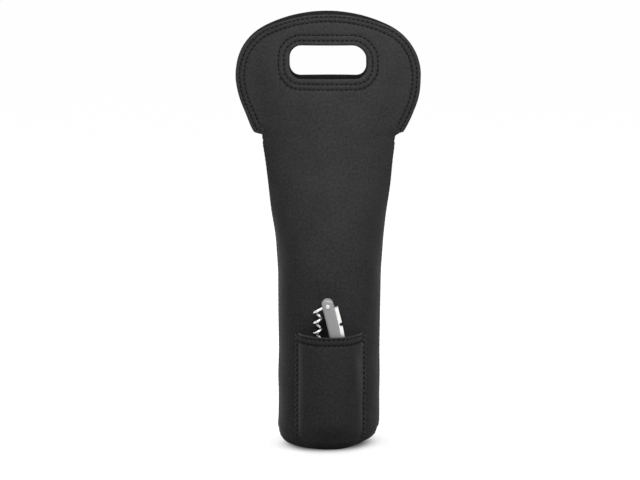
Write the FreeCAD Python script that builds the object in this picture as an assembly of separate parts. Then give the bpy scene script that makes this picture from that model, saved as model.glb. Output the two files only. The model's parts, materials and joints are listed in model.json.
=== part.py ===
"""A sewn neoprene bottle carrier with hand slots, and a corkscrew in its front pocket.

Millimetres, +Z up. The origin is on the floor at the centre of the round base. The front faces -Y.
"""
import FreeCAD
import Part
import math
import os
from FreeCAD import Vector

# Neoprene sheet and its seams
sheet = 3.0
sewn_gap = 0.15
overrun = 4.0

# Round lower body, for a bottle of about 76 mm
body_radius = 42.0
base_round = 8.0
taper_start_height = 140.0

# Mouth, where the side seams end
mouth_half_width = 54.8
mouth_half_depth = 23.0
taper_height_shares = (0, 0.2, 0.4, 0.6, 0.8, 1)
taper_width_shares = (0, 0.12, 0.33, 0.58, 0.8, 1)
taper_depth_shares = (0, 0.08, 0.25, 0.48, 0.75, 1)

# Hand lobes: their outline from the front, and how far they stand from the middle plane
carrier_height = 360.7
lobe_height = 101.7
lobe_half_width = 76.5
lobe_widest_drop = 49.7
lobe_top_radius = 125.0
ear_half_width = 60.0
ear_rise = 2.0
mouth_blend_radius = 15.0
top_half_depth = 16.0
top_wing_gap = 4.0
top_crown_radius = 200.0
top_blend_radius = 60.0
lobe_height_shares = (0, 0.35, 0.7, 1.1)

# Hand slot and the facing ring sewn behind it
slot_width = 65.4
slot_height = 28.4
slot_top_margin = 24.7
slot_corner = 8.5
facing_width = 10.5

# Front pocket
pocket_centre_x = 1.4
pocket_half_width = 28.6
pocket_sewn_width = 4.5
pocket_mouth_height = 99.5
pocket_floor_height = 13.0
pocket_corner = 8.0
pocket_floor_round = 7.0
pocket_clearance = 0.3
worm_side_room = 3.5
lever_side_room = 7.5

# Corkscrew handle: two bowed scales, a spacer and two pins
rivet_x = -0.7
tail_stand = 5.8
handle_lean_degrees = 16.5
handle_bow_radius = 240.0
handle_length = 99.0
handle_half_width = 4.8
head_rise = 0.7
scale_thickness = 2.7
scale_edge_round = 2.2
spacer_lever_gap = 7.0
spacer_tail_margin = 2.0
spacer_half_width = 3.2
pin_radius = 1.2
upper_pin_share = 0.23
lower_pin_share = 0.8

# Pivot rivet and what turns on it
rivet_radius = 1.5
rivet_head_radius = 1.7
rivet_head_height = 0.7
rivet_head_round = 0.5
pivot_clearance = 0.05
leaf_gap = 0.1

# Worm: an eye on the rivet, a straight shank and a right-hand helix
worm_wire = 2.5
worm_radius = 2.7
worm_pitch = 8.9
worm_quarter_turns = 19
worm_offset = 8.1
worm_tip_length = 3.0
worm_tip_radius = 0.2
eye_radius = 3.4
wall_clearance = 0.5

# Lever: a folded channel with a cap notch and a two-step claw
lever_sheet = 1.2
lever_length = 55.0
lever_root = -1.0
lever_reach = 7.7
lever_ear_radius = 3.6
lever_cheek_start = 3.0
lever_web_start = 5.0
notch_radius = 1.5
notch_place = 17.3
notch_reach = 6.9
claw_depth = 4.0
claw_root = 5.0

# Worked out from the sizes above
floor_radius = body_radius - base_round
mouth_height = carrier_height - lobe_height
lobe_widest_height = carrier_height - lobe_widest_drop
ear_height = mouth_height + ear_rise
slot_bottom_height = carrier_height - slot_top_margin - slot_height
worm_axis_x = rivet_x - worm_offset
half_gap = worm_wire / 2 + leaf_gap + lever_sheet + leaf_gap
tool_half_depth = half_gap + scale_thickness
tool_back = max(2 * worm_radius + worm_wire / 2, tool_half_depth + rivet_head_height)
tool_y = -(body_radius + wall_clearance + tool_back)
handle_lean = math.radians(handle_lean_degrees)
tail_turn = handle_lean - handle_length / handle_bow_radius
tail_drop = handle_bow_radius * (math.sin(handle_lean) - math.sin(tail_turn)) + handle_half_width
rivet_height = pocket_floor_height + sheet + tail_stand + tail_drop
spacer_start = lever_length + spacer_lever_gap
spacer_end = handle_length - spacer_tail_margin
upper_pin_place = spacer_start + (spacer_end - spacer_start) * upper_pin_share
lower_pin_place = spacer_start + (spacer_end - spacer_start) * lower_pin_share
rivet = Vector(rivet_x, 0, rivet_height)
bow_centre = rivet - Vector(math.cos(handle_lean), 0, math.sin(handle_lean)) * handle_bow_radius


def arc(start, middle, end):
    """A circular edge through three points."""
    return Part.Arc(start, middle, end).toShape()


def closed_face(edges):
    """The plane face inside a closed run of edges."""
    return Part.Face(Part.Wire(edges))


def rounded_face(points, radii):
    """A plane face with a corner at each point, rounded by that corner's radius."""
    edges = []
    ends = []
    for index, corner in enumerate(points):
        radius = radii[index]
        if radius == 0:
            ends.append((corner, corner))
            continue
        back = (points[index - 1] - corner).normalize()
        ahead = (points[(index + 1) % len(points)] - corner).normalize()
        half_angle = back.getAngle(ahead) / 2
        run = radius / math.tan(half_angle)
        inward = (back + ahead).normalize()
        middle = corner + inward * (radius / math.sin(half_angle) - radius)
        ends.append((corner + back * run, corner + ahead * run))
        edges.append(arc(corner + back * run, middle, corner + ahead * run))
    for index, end in enumerate(ends):
        edges.append(Part.makeLine(ends[index - 1][1], end[0]))
    return Part.Face(Part.Wire(Part.__sortEdges__(edges)))


def box_between(low, high):
    """A box from its low corner to its high corner."""
    size = high - low
    return Part.makeBox(size.x, size.y, size.z, low)


def mirrored_to_back(shape):
    """The same piece on the other side of the seam plane."""
    return shape.mirror(Vector(0, 0, 0), Vector(0, 1, 0))


# Wall of one panel


def wall_section(half_width, half_depth, height):
    """The front wall cut level: an outer arc, an inner arc and the two seam faces."""
    radius = (half_width**2 + half_depth**2) / (2 * half_depth)
    inner = math.sqrt((radius - sheet) ** 2 - (radius - half_depth) ** 2)
    outer_arc = arc(
        Vector(-half_width, 0, height), Vector(0, -half_depth, height), Vector(half_width, 0, height)
    )
    inner_arc = arc(Vector(inner, 0, height), Vector(0, sheet - half_depth, height), Vector(-inner, 0, height))
    right = Part.makeLine(Vector(half_width, 0, height), Vector(inner, 0, height))
    left = Part.makeLine(Vector(-inner, 0, height), Vector(-half_width, 0, height))
    return Part.Wire([outer_arc, right, inner_arc, left])


def taper_sizes():
    """Half width, half depth and height of the wall at each step of the taper."""
    sizes = []
    for step, share in enumerate(taper_height_shares):
        half_width = body_radius + (mouth_half_width - body_radius) * taper_width_shares[step]
        half_depth = body_radius + (mouth_half_depth - body_radius) * taper_depth_shares[step]
        sizes.append((half_width, half_depth, taper_start_height + (mouth_height - taper_start_height) * share))
    return sizes


def round_wall():
    """The lower wall: half a turn of a profile that rolls in to the floor."""
    sine = math.sin(math.pi / 4)
    inner_round = base_round - sheet
    outer_middle = Vector(floor_radius + base_round * sine, 0, base_round - base_round * sine)
    inner_middle = Vector(floor_radius + inner_round * sine, 0, base_round - inner_round * sine)
    foot = Vector(floor_radius, 0, 0)
    outer_low = Vector(body_radius, 0, base_round)
    outer_high = Vector(body_radius, 0, taper_start_height)
    inner_high = Vector(body_radius - sheet, 0, taper_start_height)
    inner_low = Vector(body_radius - sheet, 0, base_round)
    inner_foot = Vector(floor_radius, 0, sheet)
    profile = closed_face(
        [
            arc(foot, outer_middle, outer_low),
            Part.makeLine(outer_low, outer_high),
            Part.makeLine(outer_high, inner_high),
            Part.makeLine(inner_high, inner_low),
            arc(inner_low, inner_middle, inner_foot),
            Part.makeLine(inner_foot, foot),
        ]
    )
    return profile.revolve(Vector(0, 0, 0), Vector(0, 0, 1), -180)


# Hand lobes


def lobe_outline():
    """The lobe from the front: a flat top arc, two shoulders and two flanks down to the ears."""
    rise = lobe_widest_height - carrier_height + lobe_top_radius
    shoulder_radius = (lobe_top_radius**2 - lobe_half_width**2 - rise**2) / (2 * (lobe_top_radius - lobe_half_width))
    top_centre = Vector(0, 0, carrier_height - lobe_top_radius)
    shoulder_centre = Vector(lobe_half_width - shoulder_radius, 0, lobe_widest_height)
    outward = (shoulder_centre - top_centre).normalize()
    shoulder_top = top_centre + outward * lobe_top_radius
    shoulder_middle = shoulder_centre + (outward + Vector(1, 0, 0)).normalize() * shoulder_radius
    widest = Vector(lobe_half_width, 0, lobe_widest_height)
    ear = Vector(ear_half_width, 0, ear_height)
    drop = widest - ear
    flank_radius = (drop.x**2 + drop.z**2) / (2 * drop.x)
    flank_centre = Vector(lobe_half_width - flank_radius, 0, lobe_widest_height)
    flank_out = ((ear - flank_centre).normalize() + Vector(1, 0, 0)).normalize()
    flank_middle = flank_centre + flank_out * flank_radius
    root = Vector(mouth_half_width - sheet, 0, mouth_height)

    def across(point):
        return Vector(-point.x, 0, point.z)

    return closed_face(
        [
            arc(across(shoulder_top), Vector(0, 0, carrier_height), shoulder_top),
            arc(shoulder_top, shoulder_middle, widest),
            arc(widest, flank_middle, ear),
            Part.makeLine(ear, root),
            Part.makeLine(root, across(root)),
            Part.makeLine(across(root), across(ear)),
            arc(across(ear), across(flank_middle), across(widest)),
            arc(across(widest), across(shoulder_middle), across(shoulder_top)),
        ]
    )


def lobe_curve(share, depth):
    """The lobe cut level at a share of its height, on the surface that lies depth under its outer face.

    A crown arc over the bottle's neck runs through two blend arcs into flat wings.
    """
    mouth_radius = (mouth_half_width**2 + mouth_half_depth**2) / (2 * mouth_half_depth)
    crown_radius = mouth_radius + (top_crown_radius - mouth_radius) * share
    blend_radius = mouth_blend_radius + (top_blend_radius - mouth_blend_radius) * share
    half_depth = mouth_half_depth + (top_half_depth - mouth_half_depth) * share
    wing = sheet + sewn_gap + top_wing_gap * share
    height = mouth_height + lobe_height * share
    fall = half_depth - wing
    blend_x = math.sqrt(fall * (2 * (crown_radius + blend_radius) - fall))
    crown_centre = Vector(0, crown_radius - half_depth, height)
    blend_centre = Vector(blend_x, -wing - blend_radius, height)
    outward = (blend_centre - crown_centre).normalize()
    meet = crown_centre + outward * (crown_radius - depth)
    level = Vector(0, 1, 0)
    blend_middle = blend_centre + (level - outward).normalize() * (blend_radius + depth)
    wing_start = blend_centre + level * (blend_radius + depth)
    wing_end = Vector(lobe_half_width + overrun, depth - wing, height)
    crown = Vector(0, depth - half_depth, height)

    def across(point):
        return Vector(-point.x, point.y, point.z)

    return [
        Part.makeLine(across(wing_end), across(wing_start)),
        arc(across(wing_start), across(blend_middle), across(meet)),
        arc(across(meet), crown, meet),
        arc(meet, blend_middle, wing_start),
        Part.makeLine(wing_start, wing_end),
    ]


def lobe_layer(depth):
    """One sheet of the lobe, not yet trimmed, whose outer face lies depth under the lobe's outer face."""
    sections = []
    for share in lobe_height_shares:
        outer = lobe_curve(share, depth)
        inner = lobe_curve(share, depth + sheet)
        right = Part.makeLine(outer[-1].Vertexes[-1].Point, inner[-1].Vertexes[-1].Point)
        left = Part.makeLine(inner[0].Vertexes[0].Point, outer[0].Vertexes[0].Point)
        sections.append(Part.Wire(outer + [right] + inner[::-1] + [left]))
    return Part.makeLoft(sections, True, False)


def slot_cutter(margin):
    """A bar with the hand slot's outline, wider by a margin all round, through the front lobe."""
    half_width = slot_width / 2 + margin
    low = slot_bottom_height - margin
    high = slot_bottom_height + slot_height + margin
    front = -(mouth_half_depth + overrun)
    corners = [
        Vector(-half_width, front, low),
        Vector(half_width, front, low),
        Vector(half_width, front, high),
        Vector(-half_width, front, high),
    ]
    return rounded_face(corners, [slot_corner + margin] * len(corners)).extrude(Vector(0, -front, 0))


def front_panel():
    """The front panel: round wall, taper and lobe in one cut of sheet, with its hand slot."""
    taper = Part.makeLoft([wall_section(*sizes) for sizes in taper_sizes()], True, False)
    front = Vector(0, -(mouth_half_depth + overrun), 0)
    lobe = lobe_layer(0).common(lobe_outline().extrude(front))
    panel = round_wall().fuse([taper, lobe])
    reach = lobe_half_width + overrun
    seam_cut = box_between(
        Vector(-reach, -sewn_gap / 2, -overrun), Vector(reach, overrun, carrier_height + overrun)
    )
    return panel.cut([seam_cut, slot_cutter(0)]).removeSplitter()


def front_facing():
    """The ring of sheet behind the front hand slot."""
    ring = slot_cutter(facing_width).cut(slot_cutter(0))
    return lobe_layer(sheet + sewn_gap).common(ring)


def base_panel():
    """The round base, let in between the rolled lower edges of the two panels."""
    return Part.makeCylinder(floor_radius - sewn_gap, sheet)


# Corkscrew


def along(place, offset):
    """A point beside the bowed handle: its place below the rivet, and its offset to the outer side."""
    turn = handle_lean - place / handle_bow_radius
    reach = handle_bow_radius + offset
    return bow_centre + Vector(math.cos(turn), 0, math.sin(turn)) * reach


def bow(start, end, offset):
    """An edge along the bow of the handle."""
    return arc(along(start, offset), along((start + end) / 2, offset), along(end, offset))


def band(start, end, inner, outer):
    """A face along the bow of the handle between two places and two offsets."""
    return closed_face(
        [
            bow(start, end, outer),
            Part.makeLine(along(end, outer), along(end, inner)),
            bow(end, start, inner),
            Part.makeLine(along(start, inner), along(start, outer)),
        ]
    )


def slab(face, low, high):
    """A face of the handle's plane made solid from low to high across the handle."""
    placed = face.translated(Vector(0, tool_y + low, 0))
    return placed.extrude(Vector(0, high - low, 0))


def cross_pin(centre, radius, low, high):
    """A round bar across the handle."""
    return Part.makeCylinder(radius, high - low, centre + Vector(0, tool_y + low, 0), Vector(0, 1, 0))


def handle_end(place, way):
    """The round end of the handle, which runs on from its two edges: way is 1 below and -1 above."""
    turn = handle_lean - place / handle_bow_radius
    middle = along(place, 0) + Vector(math.sin(turn), 0, -math.cos(turn)) * (way * handle_half_width)
    return arc(along(place, way * handle_half_width), middle, along(place, -way * handle_half_width))


def handle_scale(side):
    """One side of the handle, rounded along its outer edge and drilled for the rivet and the pins."""
    outline = closed_face(
        [
            bow(-head_rise, handle_length, handle_half_width),
            handle_end(handle_length, 1),
            bow(handle_length, -head_rise, -handle_half_width),
            handle_end(-head_rise, -1),
        ]
    )
    low, high = sorted((side * half_gap, side * tool_half_depth))
    plain = slab(outline, low, high)
    outer_y = tool_y + side * tool_half_depth
    rim = [edge for edge in plain.Edges if abs(edge.CenterOfMass.y - outer_y) < leaf_gap]
    scale = plain.makeFillet(scale_edge_round, rim)
    reach = tool_half_depth + overrun
    holes = [cross_pin(rivet, rivet_radius + pivot_clearance, -reach, reach)]
    for place in (upper_pin_place, lower_pin_place):
        holes.append(cross_pin(along(place, 0), pin_radius + pivot_clearance, -reach, reach))
    return scale.cut(holes)


def spacer():
    """The bar that holds the scales apart below the folded lever."""
    bar = slab(band(spacer_start, spacer_end, -spacer_half_width, spacer_half_width), -half_gap, half_gap)
    holes = []
    for place in (upper_pin_place, lower_pin_place):
        holes.append(cross_pin(along(place, 0), pin_radius + pivot_clearance, -tool_half_depth, tool_half_depth))
    return bar.cut(holes)


def handle_pin(place):
    """A plain pin through both scales and the spacer, flush at both ends."""
    return cross_pin(along(place, 0), pin_radius, -tool_half_depth, tool_half_depth)


def pivot_rivet():
    """The rivet that the worm and the lever turn on, with a low round head at each end."""
    end = tool_half_depth + rivet_head_height
    shape = cross_pin(rivet, rivet_radius, -tool_half_depth, tool_half_depth)
    for low, high, face in ((-end, -tool_half_depth, -end), (tool_half_depth, end, end)):
        head = cross_pin(rivet, rivet_head_radius, low, high)
        rim = [edge for edge in head.Edges if abs(edge.CenterOfMass.y - tool_y - face) < leaf_gap]
        shape = shape.fuse(head.makeFillet(rivet_head_round, rim))
    return shape.removeSplitter()


def lever():
    """A folded channel: two cheeks with an ear on the rivet, and a web along the outer edge."""
    near = worm_wire / 2 + leaf_gap
    far = near + lever_sheet
    cheek = band(lever_cheek_start, lever_length, lever_root, lever_reach)
    web = band(lever_web_start, lever_length, lever_reach - lever_sheet, lever_reach)
    shape = slab(web, -far, far)
    for low, high in ((-far, -near), (near, far)):
        shape = shape.fuse([slab(cheek, low, high), cross_pin(rivet, lever_ear_radius, low, high)])
    claw = band(lever_length - claw_depth, lever_length + overrun, lever_root - overrun, claw_root)
    cutters = [
        cross_pin(rivet, rivet_radius + pivot_clearance, -tool_half_depth, tool_half_depth),
        cross_pin(along(notch_place, notch_reach), notch_radius, -tool_half_depth, tool_half_depth),
        slab(claw, -tool_half_depth, tool_half_depth),
    ]
    return shape.cut(cutters).removeSplitter()


def helix_point(turns):
    """A point of the worm's centre line, a number of turns below the end of the shank."""
    angle = -math.pi / 2 - 2 * math.pi * turns
    top = rivet_height - worm_offset * worm_pitch / (2 * math.pi * worm_radius)
    return Vector(
        worm_axis_x + worm_radius * math.cos(angle),
        tool_y + worm_radius + worm_radius * math.sin(angle),
        top - worm_pitch * turns,
    )


def helix_way(turns):
    """The direction of the worm's centre line, towards its tip."""
    angle = -math.pi / 2 - 2 * math.pi * turns
    slope = worm_pitch / (2 * math.pi * worm_radius)
    return Vector(math.sin(angle), -math.cos(angle), -slope).normalize()


def arc_leaving(start, way, end):
    """The circular edge that leaves start in a given direction and ends at end."""
    chord = end - start
    along_chord = Vector(chord).normalize()
    bulge = way - along_chord * way.dot(along_chord)
    half_angle = way.getAngle(chord) / 2
    middle = start + chord / 2 + bulge.normalize() * (chord.Length / 2 * math.tan(half_angle))
    return arc(start, middle, end)


def biarc(start, start_way, end, end_way):
    """Two arcs that join two points and keep the direction at both."""
    chord = end - start
    ways = start_way + end_way
    spread = 2 * (1 - start_way.dot(end_way))
    step = (math.sqrt(chord.dot(ways) ** 2 + spread * chord.dot(chord)) - chord.dot(ways)) / spread
    joint = (start + end + (start_way - end_way) * step) / 2
    joint_way = (joint - start - start_way * step).normalize()
    return [arc_leaving(start, start_way, joint), arc_leaving(joint, joint_way, end)]


def worm():
    """One unbroken wire: an eye on the rivet, a straight shank and a helix with a sharpened end."""
    eye_centre = rivet + Vector(0, tool_y, 0)
    route = [Part.makeLine(eye_centre, helix_point(0))]
    for quarter in range(worm_quarter_turns):
        start = quarter / 4
        end = (quarter + 1) / 4
        route.extend(biarc(helix_point(start), helix_way(start), helix_point(end), helix_way(end)))
    circle = Part.Circle(eye_centre, helix_way(0), worm_wire / 2).toShape()
    wire = Part.Wire(route).makePipeShell([Part.Wire(circle)], True, False)
    turns = worm_quarter_turns / 4
    tip = Part.makeCone(worm_wire / 2, worm_tip_radius, worm_tip_length, helix_point(turns), helix_way(turns))
    eye = cross_pin(rivet, eye_radius, -worm_wire / 2, worm_wire / 2)
    hole = cross_pin(rivet, rivet_radius + pivot_clearance, -tool_half_depth, tool_half_depth)
    return wire.fuse([tip, eye]).cut(hole)


def worm_self_gap():
    """The least gap between one turn of the worm's wire and the next, measured on points."""
    samples = 24
    points = [helix_point(step / samples) for step in range(worm_quarter_turns * samples // 4)]
    apart = [
        points[first].distanceToPoint(points[second])
        for first in range(len(points))
        for second in range(first + samples // 2, len(points))
    ]
    return min(apart) - worm_wire


# Front pocket


def pocket_bar(front_left, front_right, front_y, margin, low, high):
    """An upright bar between the pocket's feet on the wall and its flat front, larger by a margin."""
    foot_half = pocket_half_width - pocket_sewn_width
    feet = []
    for side, front_x in ((-1, front_left), (1, front_right)):
        foot_x = pocket_centre_x + side * foot_half
        foot = Vector(foot_x, -math.sqrt(body_radius**2 - foot_x**2), low)
        corner = Vector(front_x, front_y, low)
        way = (corner - foot).normalize()
        out = Vector(-side * way.y, side * way.x, 0)
        ahead = Vector(0, -1, 0)
        grown = corner + (out + ahead) * (margin / (1 + out.dot(ahead)))
        feet.append((foot + out * margin - way * sheet, grown))
    (left_foot, left_front), (right_foot, right_front) = feet
    radius = pocket_corner + margin
    outline = rounded_face([left_foot, left_front, right_front, right_foot], [0, radius, radius, 0])
    bar = outline.extrude(Vector(0, 0, high - low))
    behind = max(left_foot.y, right_foot.y) - overrun
    rim = [
        edge
        for edge in bar.Edges
        if edge.CenterOfMass.z < low + leaf_gap and edge.CenterOfMass.y < behind
    ]
    return bar.makeFillet(pocket_floor_round + margin, rim)


def pocket_panel():
    """The patch pocket: a flat front over the corkscrew, two sides and two edges sewn to the wall."""
    left = worm_axis_x - worm_radius - worm_wire / 2 - worm_side_room + pocket_corner / 2
    right = max(along(lever_length, lever_reach).x, along(handle_length, handle_half_width).x)
    right = right + lever_side_room - pocket_corner / 2
    front_y = tool_y - tool_half_depth - pocket_clearance
    outer = pocket_bar(left, right, front_y, sheet, pocket_floor_height, pocket_mouth_height)
    room = pocket_bar(left, right, front_y, 0, pocket_floor_height + sheet, pocket_mouth_height + overrun)
    wall_face = body_radius + sewn_gap
    height = pocket_mouth_height - pocket_floor_height
    low = Vector(0, 0, pocket_floor_height)
    ring = Part.makeCylinder(wall_face + sheet, height, low)
    edges = ring.common(
        box_between(
            Vector(pocket_centre_x - pocket_half_width, -(wall_face + sheet), pocket_floor_height),
            Vector(pocket_centre_x + pocket_half_width, 0, pocket_mouth_height),
        )
    )
    wall = Part.makeCylinder(wall_face, height + 2 * overrun, low - Vector(0, 0, overrun))
    return outer.fuse(edges).cut([room, wall]).removeSplitter()


def main():
    """Build every piece and write it to the parts folder."""
    panel = front_panel()
    facing = front_facing()
    pieces = {
        "front_panel": panel,
        "back_panel": mirrored_to_back(panel),
        "base_panel": base_panel(),
        "pocket_panel": pocket_panel(),
        "front_slot_facing": facing,
        "back_slot_facing": mirrored_to_back(facing),
        "corkscrew_front_scale": handle_scale(-1),
        "corkscrew_back_scale": handle_scale(1),
        "corkscrew_spacer": spacer(),
        "corkscrew_upper_pin": handle_pin(upper_pin_place),
        "corkscrew_lower_pin": handle_pin(lower_pin_place),
        "corkscrew_pivot_rivet": pivot_rivet(),
        "corkscrew_lever": lever(),
        "corkscrew_worm": worm(),
    }
    os.makedirs("parts", exist_ok=True)
    for name, shape in pieces.items():
        shape.exportStep(os.path.join("parts", name + ".step"))
        size = shape.optimalBoundingBox(False)
        print(name, len(shape.Solids), shape.isValid(), round(shape.Volume), size)
    print("least gap between turns of the worm:", round(worm_self_gap(), 2))


if __name__ == "__main__":
    main()
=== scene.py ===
import json
import math
from functools import partial

import bpy
import numpy as np
from bpy.props import FloatProperty, FloatVectorProperty, PointerProperty
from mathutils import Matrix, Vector
from mathutils.geometry import delaunay_2d_cdt


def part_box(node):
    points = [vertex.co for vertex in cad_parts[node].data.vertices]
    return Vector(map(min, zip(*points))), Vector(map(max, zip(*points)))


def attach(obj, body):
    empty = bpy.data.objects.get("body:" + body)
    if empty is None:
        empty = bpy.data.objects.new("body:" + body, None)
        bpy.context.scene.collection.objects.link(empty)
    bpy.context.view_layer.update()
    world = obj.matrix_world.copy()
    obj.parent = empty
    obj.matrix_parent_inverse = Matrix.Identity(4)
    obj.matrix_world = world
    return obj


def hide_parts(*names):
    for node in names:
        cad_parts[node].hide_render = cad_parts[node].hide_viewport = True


bl_info = {
    "name": "Bottle carrier",
    "version": (1, 0, 0),
    "blender": (4, 5, 0),
    "location": "View3D > Sidebar > Carrier",
    "description": "Dresses a sewn neoprene bottle carrier and the corkscrew in its pocket",
    "category": "Object",
}

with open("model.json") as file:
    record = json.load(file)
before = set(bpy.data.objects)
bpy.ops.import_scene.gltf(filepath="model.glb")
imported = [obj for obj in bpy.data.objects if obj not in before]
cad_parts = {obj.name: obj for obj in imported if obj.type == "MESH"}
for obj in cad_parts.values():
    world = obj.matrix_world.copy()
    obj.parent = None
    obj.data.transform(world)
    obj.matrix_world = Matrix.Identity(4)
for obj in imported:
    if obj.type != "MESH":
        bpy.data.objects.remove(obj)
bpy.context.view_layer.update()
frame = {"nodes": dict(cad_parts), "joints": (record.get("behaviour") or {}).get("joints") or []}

MM = 0.001
PANEL_LOW, PANEL_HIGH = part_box("front_panel")
_, BASE_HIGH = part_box("base_panel")
POCKET_LOW, POCKET_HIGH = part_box("pocket_panel")
SEWN_GAP = 0.15 * MM
BASE_ROUND = -PANEL_LOW.y - BASE_HIGH.x - SEWN_GAP

# Names that meshes share with materials and node trees
FLAT_MAP = "flat_cut"
# Painted groove shade: the attribute that darkens the jersey where the sewing pulls it in
PAINTED_GROOVE_SHADE = "painted_groove_shade"
UPWARD = "up"

# How the wall widens and flattens from the round body to the mouth
TAPER_HEIGHT_SHARES = (0.0, 0.2, 0.4, 0.6, 0.8, 1.0)
TAPER_WIDTH_SHARES = (0.0, 0.12, 0.33, 0.58, 0.8, 1.0)
TAPER_DEPTH_SHARES = (0.0, 0.1, 0.31, 0.58, 0.86, 1.0)

# Where the wall passes into the lobe, from below the mouth to above it, and how far below the
# mouth the side seam leaves the wall's arc
MOUTH_EASE_BELOW, MOUTH_EASE_ABOVE, SEAM_EASE = 4 * MM, 3 * MM, 5 * MM

# How the standing carrier swells, in mm: a height, and how far the left and right side stand out
SWAY = (
    (0, -1.1, -2.2), (8, -0.9, -1.8), (14, 0.1, 0.3), (20, -0.3, 0.6), (40, -0.6, 0.6),
    (56, -0.2, 0.8), (78, -0.8, 0.6), (110, -0.4, 1), (155, -0.3, 1.5), (176, -0.5, 1.2),
    (196, 0.5, 1.2), (217, 0.4, 1.8), (237, 0.6, 1.6), (254, 1.2, 1.6), (262, 0.6, 0.8),
    (277, -1.4, 0), (292, -0.8, 0.4), (306, 0, 0),
)
SWAY_REACH = 42 * MM
# How far each lobe leans to the left and the back one rises, and over which heights
FRONT_LEAN, FRONT_LEAN_SPAN = 0.3 * MM, (262 * MM, 300 * MM)
BACK_LEAN, BACK_LEAN_START, BACK_LEAN_RUN = 1.5 * MM, 300 * MM, 60 * MM
BACK_RISE, BACK_RISE_SPAN = 0.5 * MM, (300 * MM, 350 * MM)
# How far the foot lifts at its right, from where to where across and forward, and up to what height
FOOT_LIFT, FOOT_LIFT_HEIGHT = 3.8 * MM, 20 * MM
FOOT_LIFT_ACROSS, FOOT_LIFT_FORWARD = (4 * MM, 42 * MM), (-20 * MM, 20 * MM)
# How far the foot spreads in front at a radius, up to what height, and how closely round the front
FOOT_SPREAD, FOOT_SPREAD_RADIUS, FOOT_SPREAD_HEIGHT = 5.2 * MM, 34 * MM, 8 * MM
FOOT_SPREAD_DEPTH, FOOT_SPREAD_POWER = 40 * MM, 8

# How uneven the sheets are: height and length of the waves, and their seed
PANEL_WAVES = ((0.35 * MM, 45 * MM, 0), (0.12 * MM, 14 * MM, 10))
POCKET_WAVE = (0.25 * MM, 30 * MM, 21)
BASE_WAVE = (0.15 * MM, 25 * MM, 5)

# How far apart the points of an outline lie, and how far from it a sheet is drawn finely
PANEL_SPACING, SLOT_SPACING, BASE_SPACING, POCKET_SPACING = 1 * MM, 0.5 * MM, 1.2 * MM, 0.45 * MM
WIDE_FINE_REACH, NARROW_FINE_REACH = 11 * MM, 4 * MM
HEM_POINTS, HEM_CORNER_POINTS = 120, 12
# The pocket's cells as a share of the other sheets'
POCKET_CELL_SHARE = 0.8

# How the side seams pucker, how far inside the edge their threads run, and how these bow and sink
PUCKER, PUCKER_REACH = 0.3 * MM, 2.5 * MM
SEAM_INSET, SEAM_BOW, SEAM_SINK = 2 * MM, 0.6 * MM, 0.3 * MM
# How far the threads at the pocket's sides bow out between their holes
POCKET_SIDE_BOW = 1.1 * MM
# How far below the lobe's top its rows begin to run nearer to the edge
TOP_SHIFT_RUN = 40 * MM
# The points of a row and of a seam that are sewn: the ends are left free
ROW_SEWN, SEAM_SEWN = slice(4, -4), slice(8, -10)
# Sides of a drawn thread, segments of a single stitch and of a zigzag's stroke
THREAD_SIDES, STITCH_SEGMENTS, STROKE_SEGMENTS = 6, 5, 6

# The shadow painted on the floor round the foot, over the real one: its place, turn and squash, and
# where and how much it fades
SHADOW_PLACE, SHADOW_TURN, SHADOW_SQUASH = (0, -12 * MM, 0), (0, 0, 0.26), (1, 0.76, 1)
SHADOW_STEPS = ((22 * MM, 48 * MM, 0.76), (44 * MM, 84 * MM, 0.22))
FLOOR_REACH, FLOOR_LEVEL = 12.0, -0.2 * MM
SURROUND_STRENGTH = 0.05
# Each lamp's place, size and power, and the point that they face
LAMPS = {
    "top_softbox": ((0.06, -0.36, 0.62), (0.9, 0.35), 5.6),
    "left_softbox": ((-0.62, 0.85, 0.64), (0.4, 0.7), 12.4),
    "right_softbox": ((0.62, 0.85, 0.64), (0.4, 0.7), 7.2),
}
LAMP_TARGET = Vector((0, 0, 0.24))
LENS, SENSOR = 164.2, 36.0
CAMERA_PLACE, CAMERA_TILT = (-0.00705, -2.4, 0.590), math.radians(80.09)


def linear(code):
    """An sRGB hex colour as linear red, green, blue and alpha."""
    channels = [int(code[i : i + 2], 16) / 255 for i in (1, 3, 5)]
    lit = [c / 12.92 if c <= 0.04045 else ((c + 0.055) / 1.055) ** 2.4 for c in channels]
    return lit + [1.0]


def length(name, description, default):
    """A property that holds a length."""
    return FloatProperty(
        name=name, description=description, default=default, precision=4, unit="LENGTH"
    )


def colour(name, description, code):
    """A property that holds a colour."""
    return FloatVectorProperty(
        name=name, description=description, default=linear(code), size=4, subtype="COLOR"
    )


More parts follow.
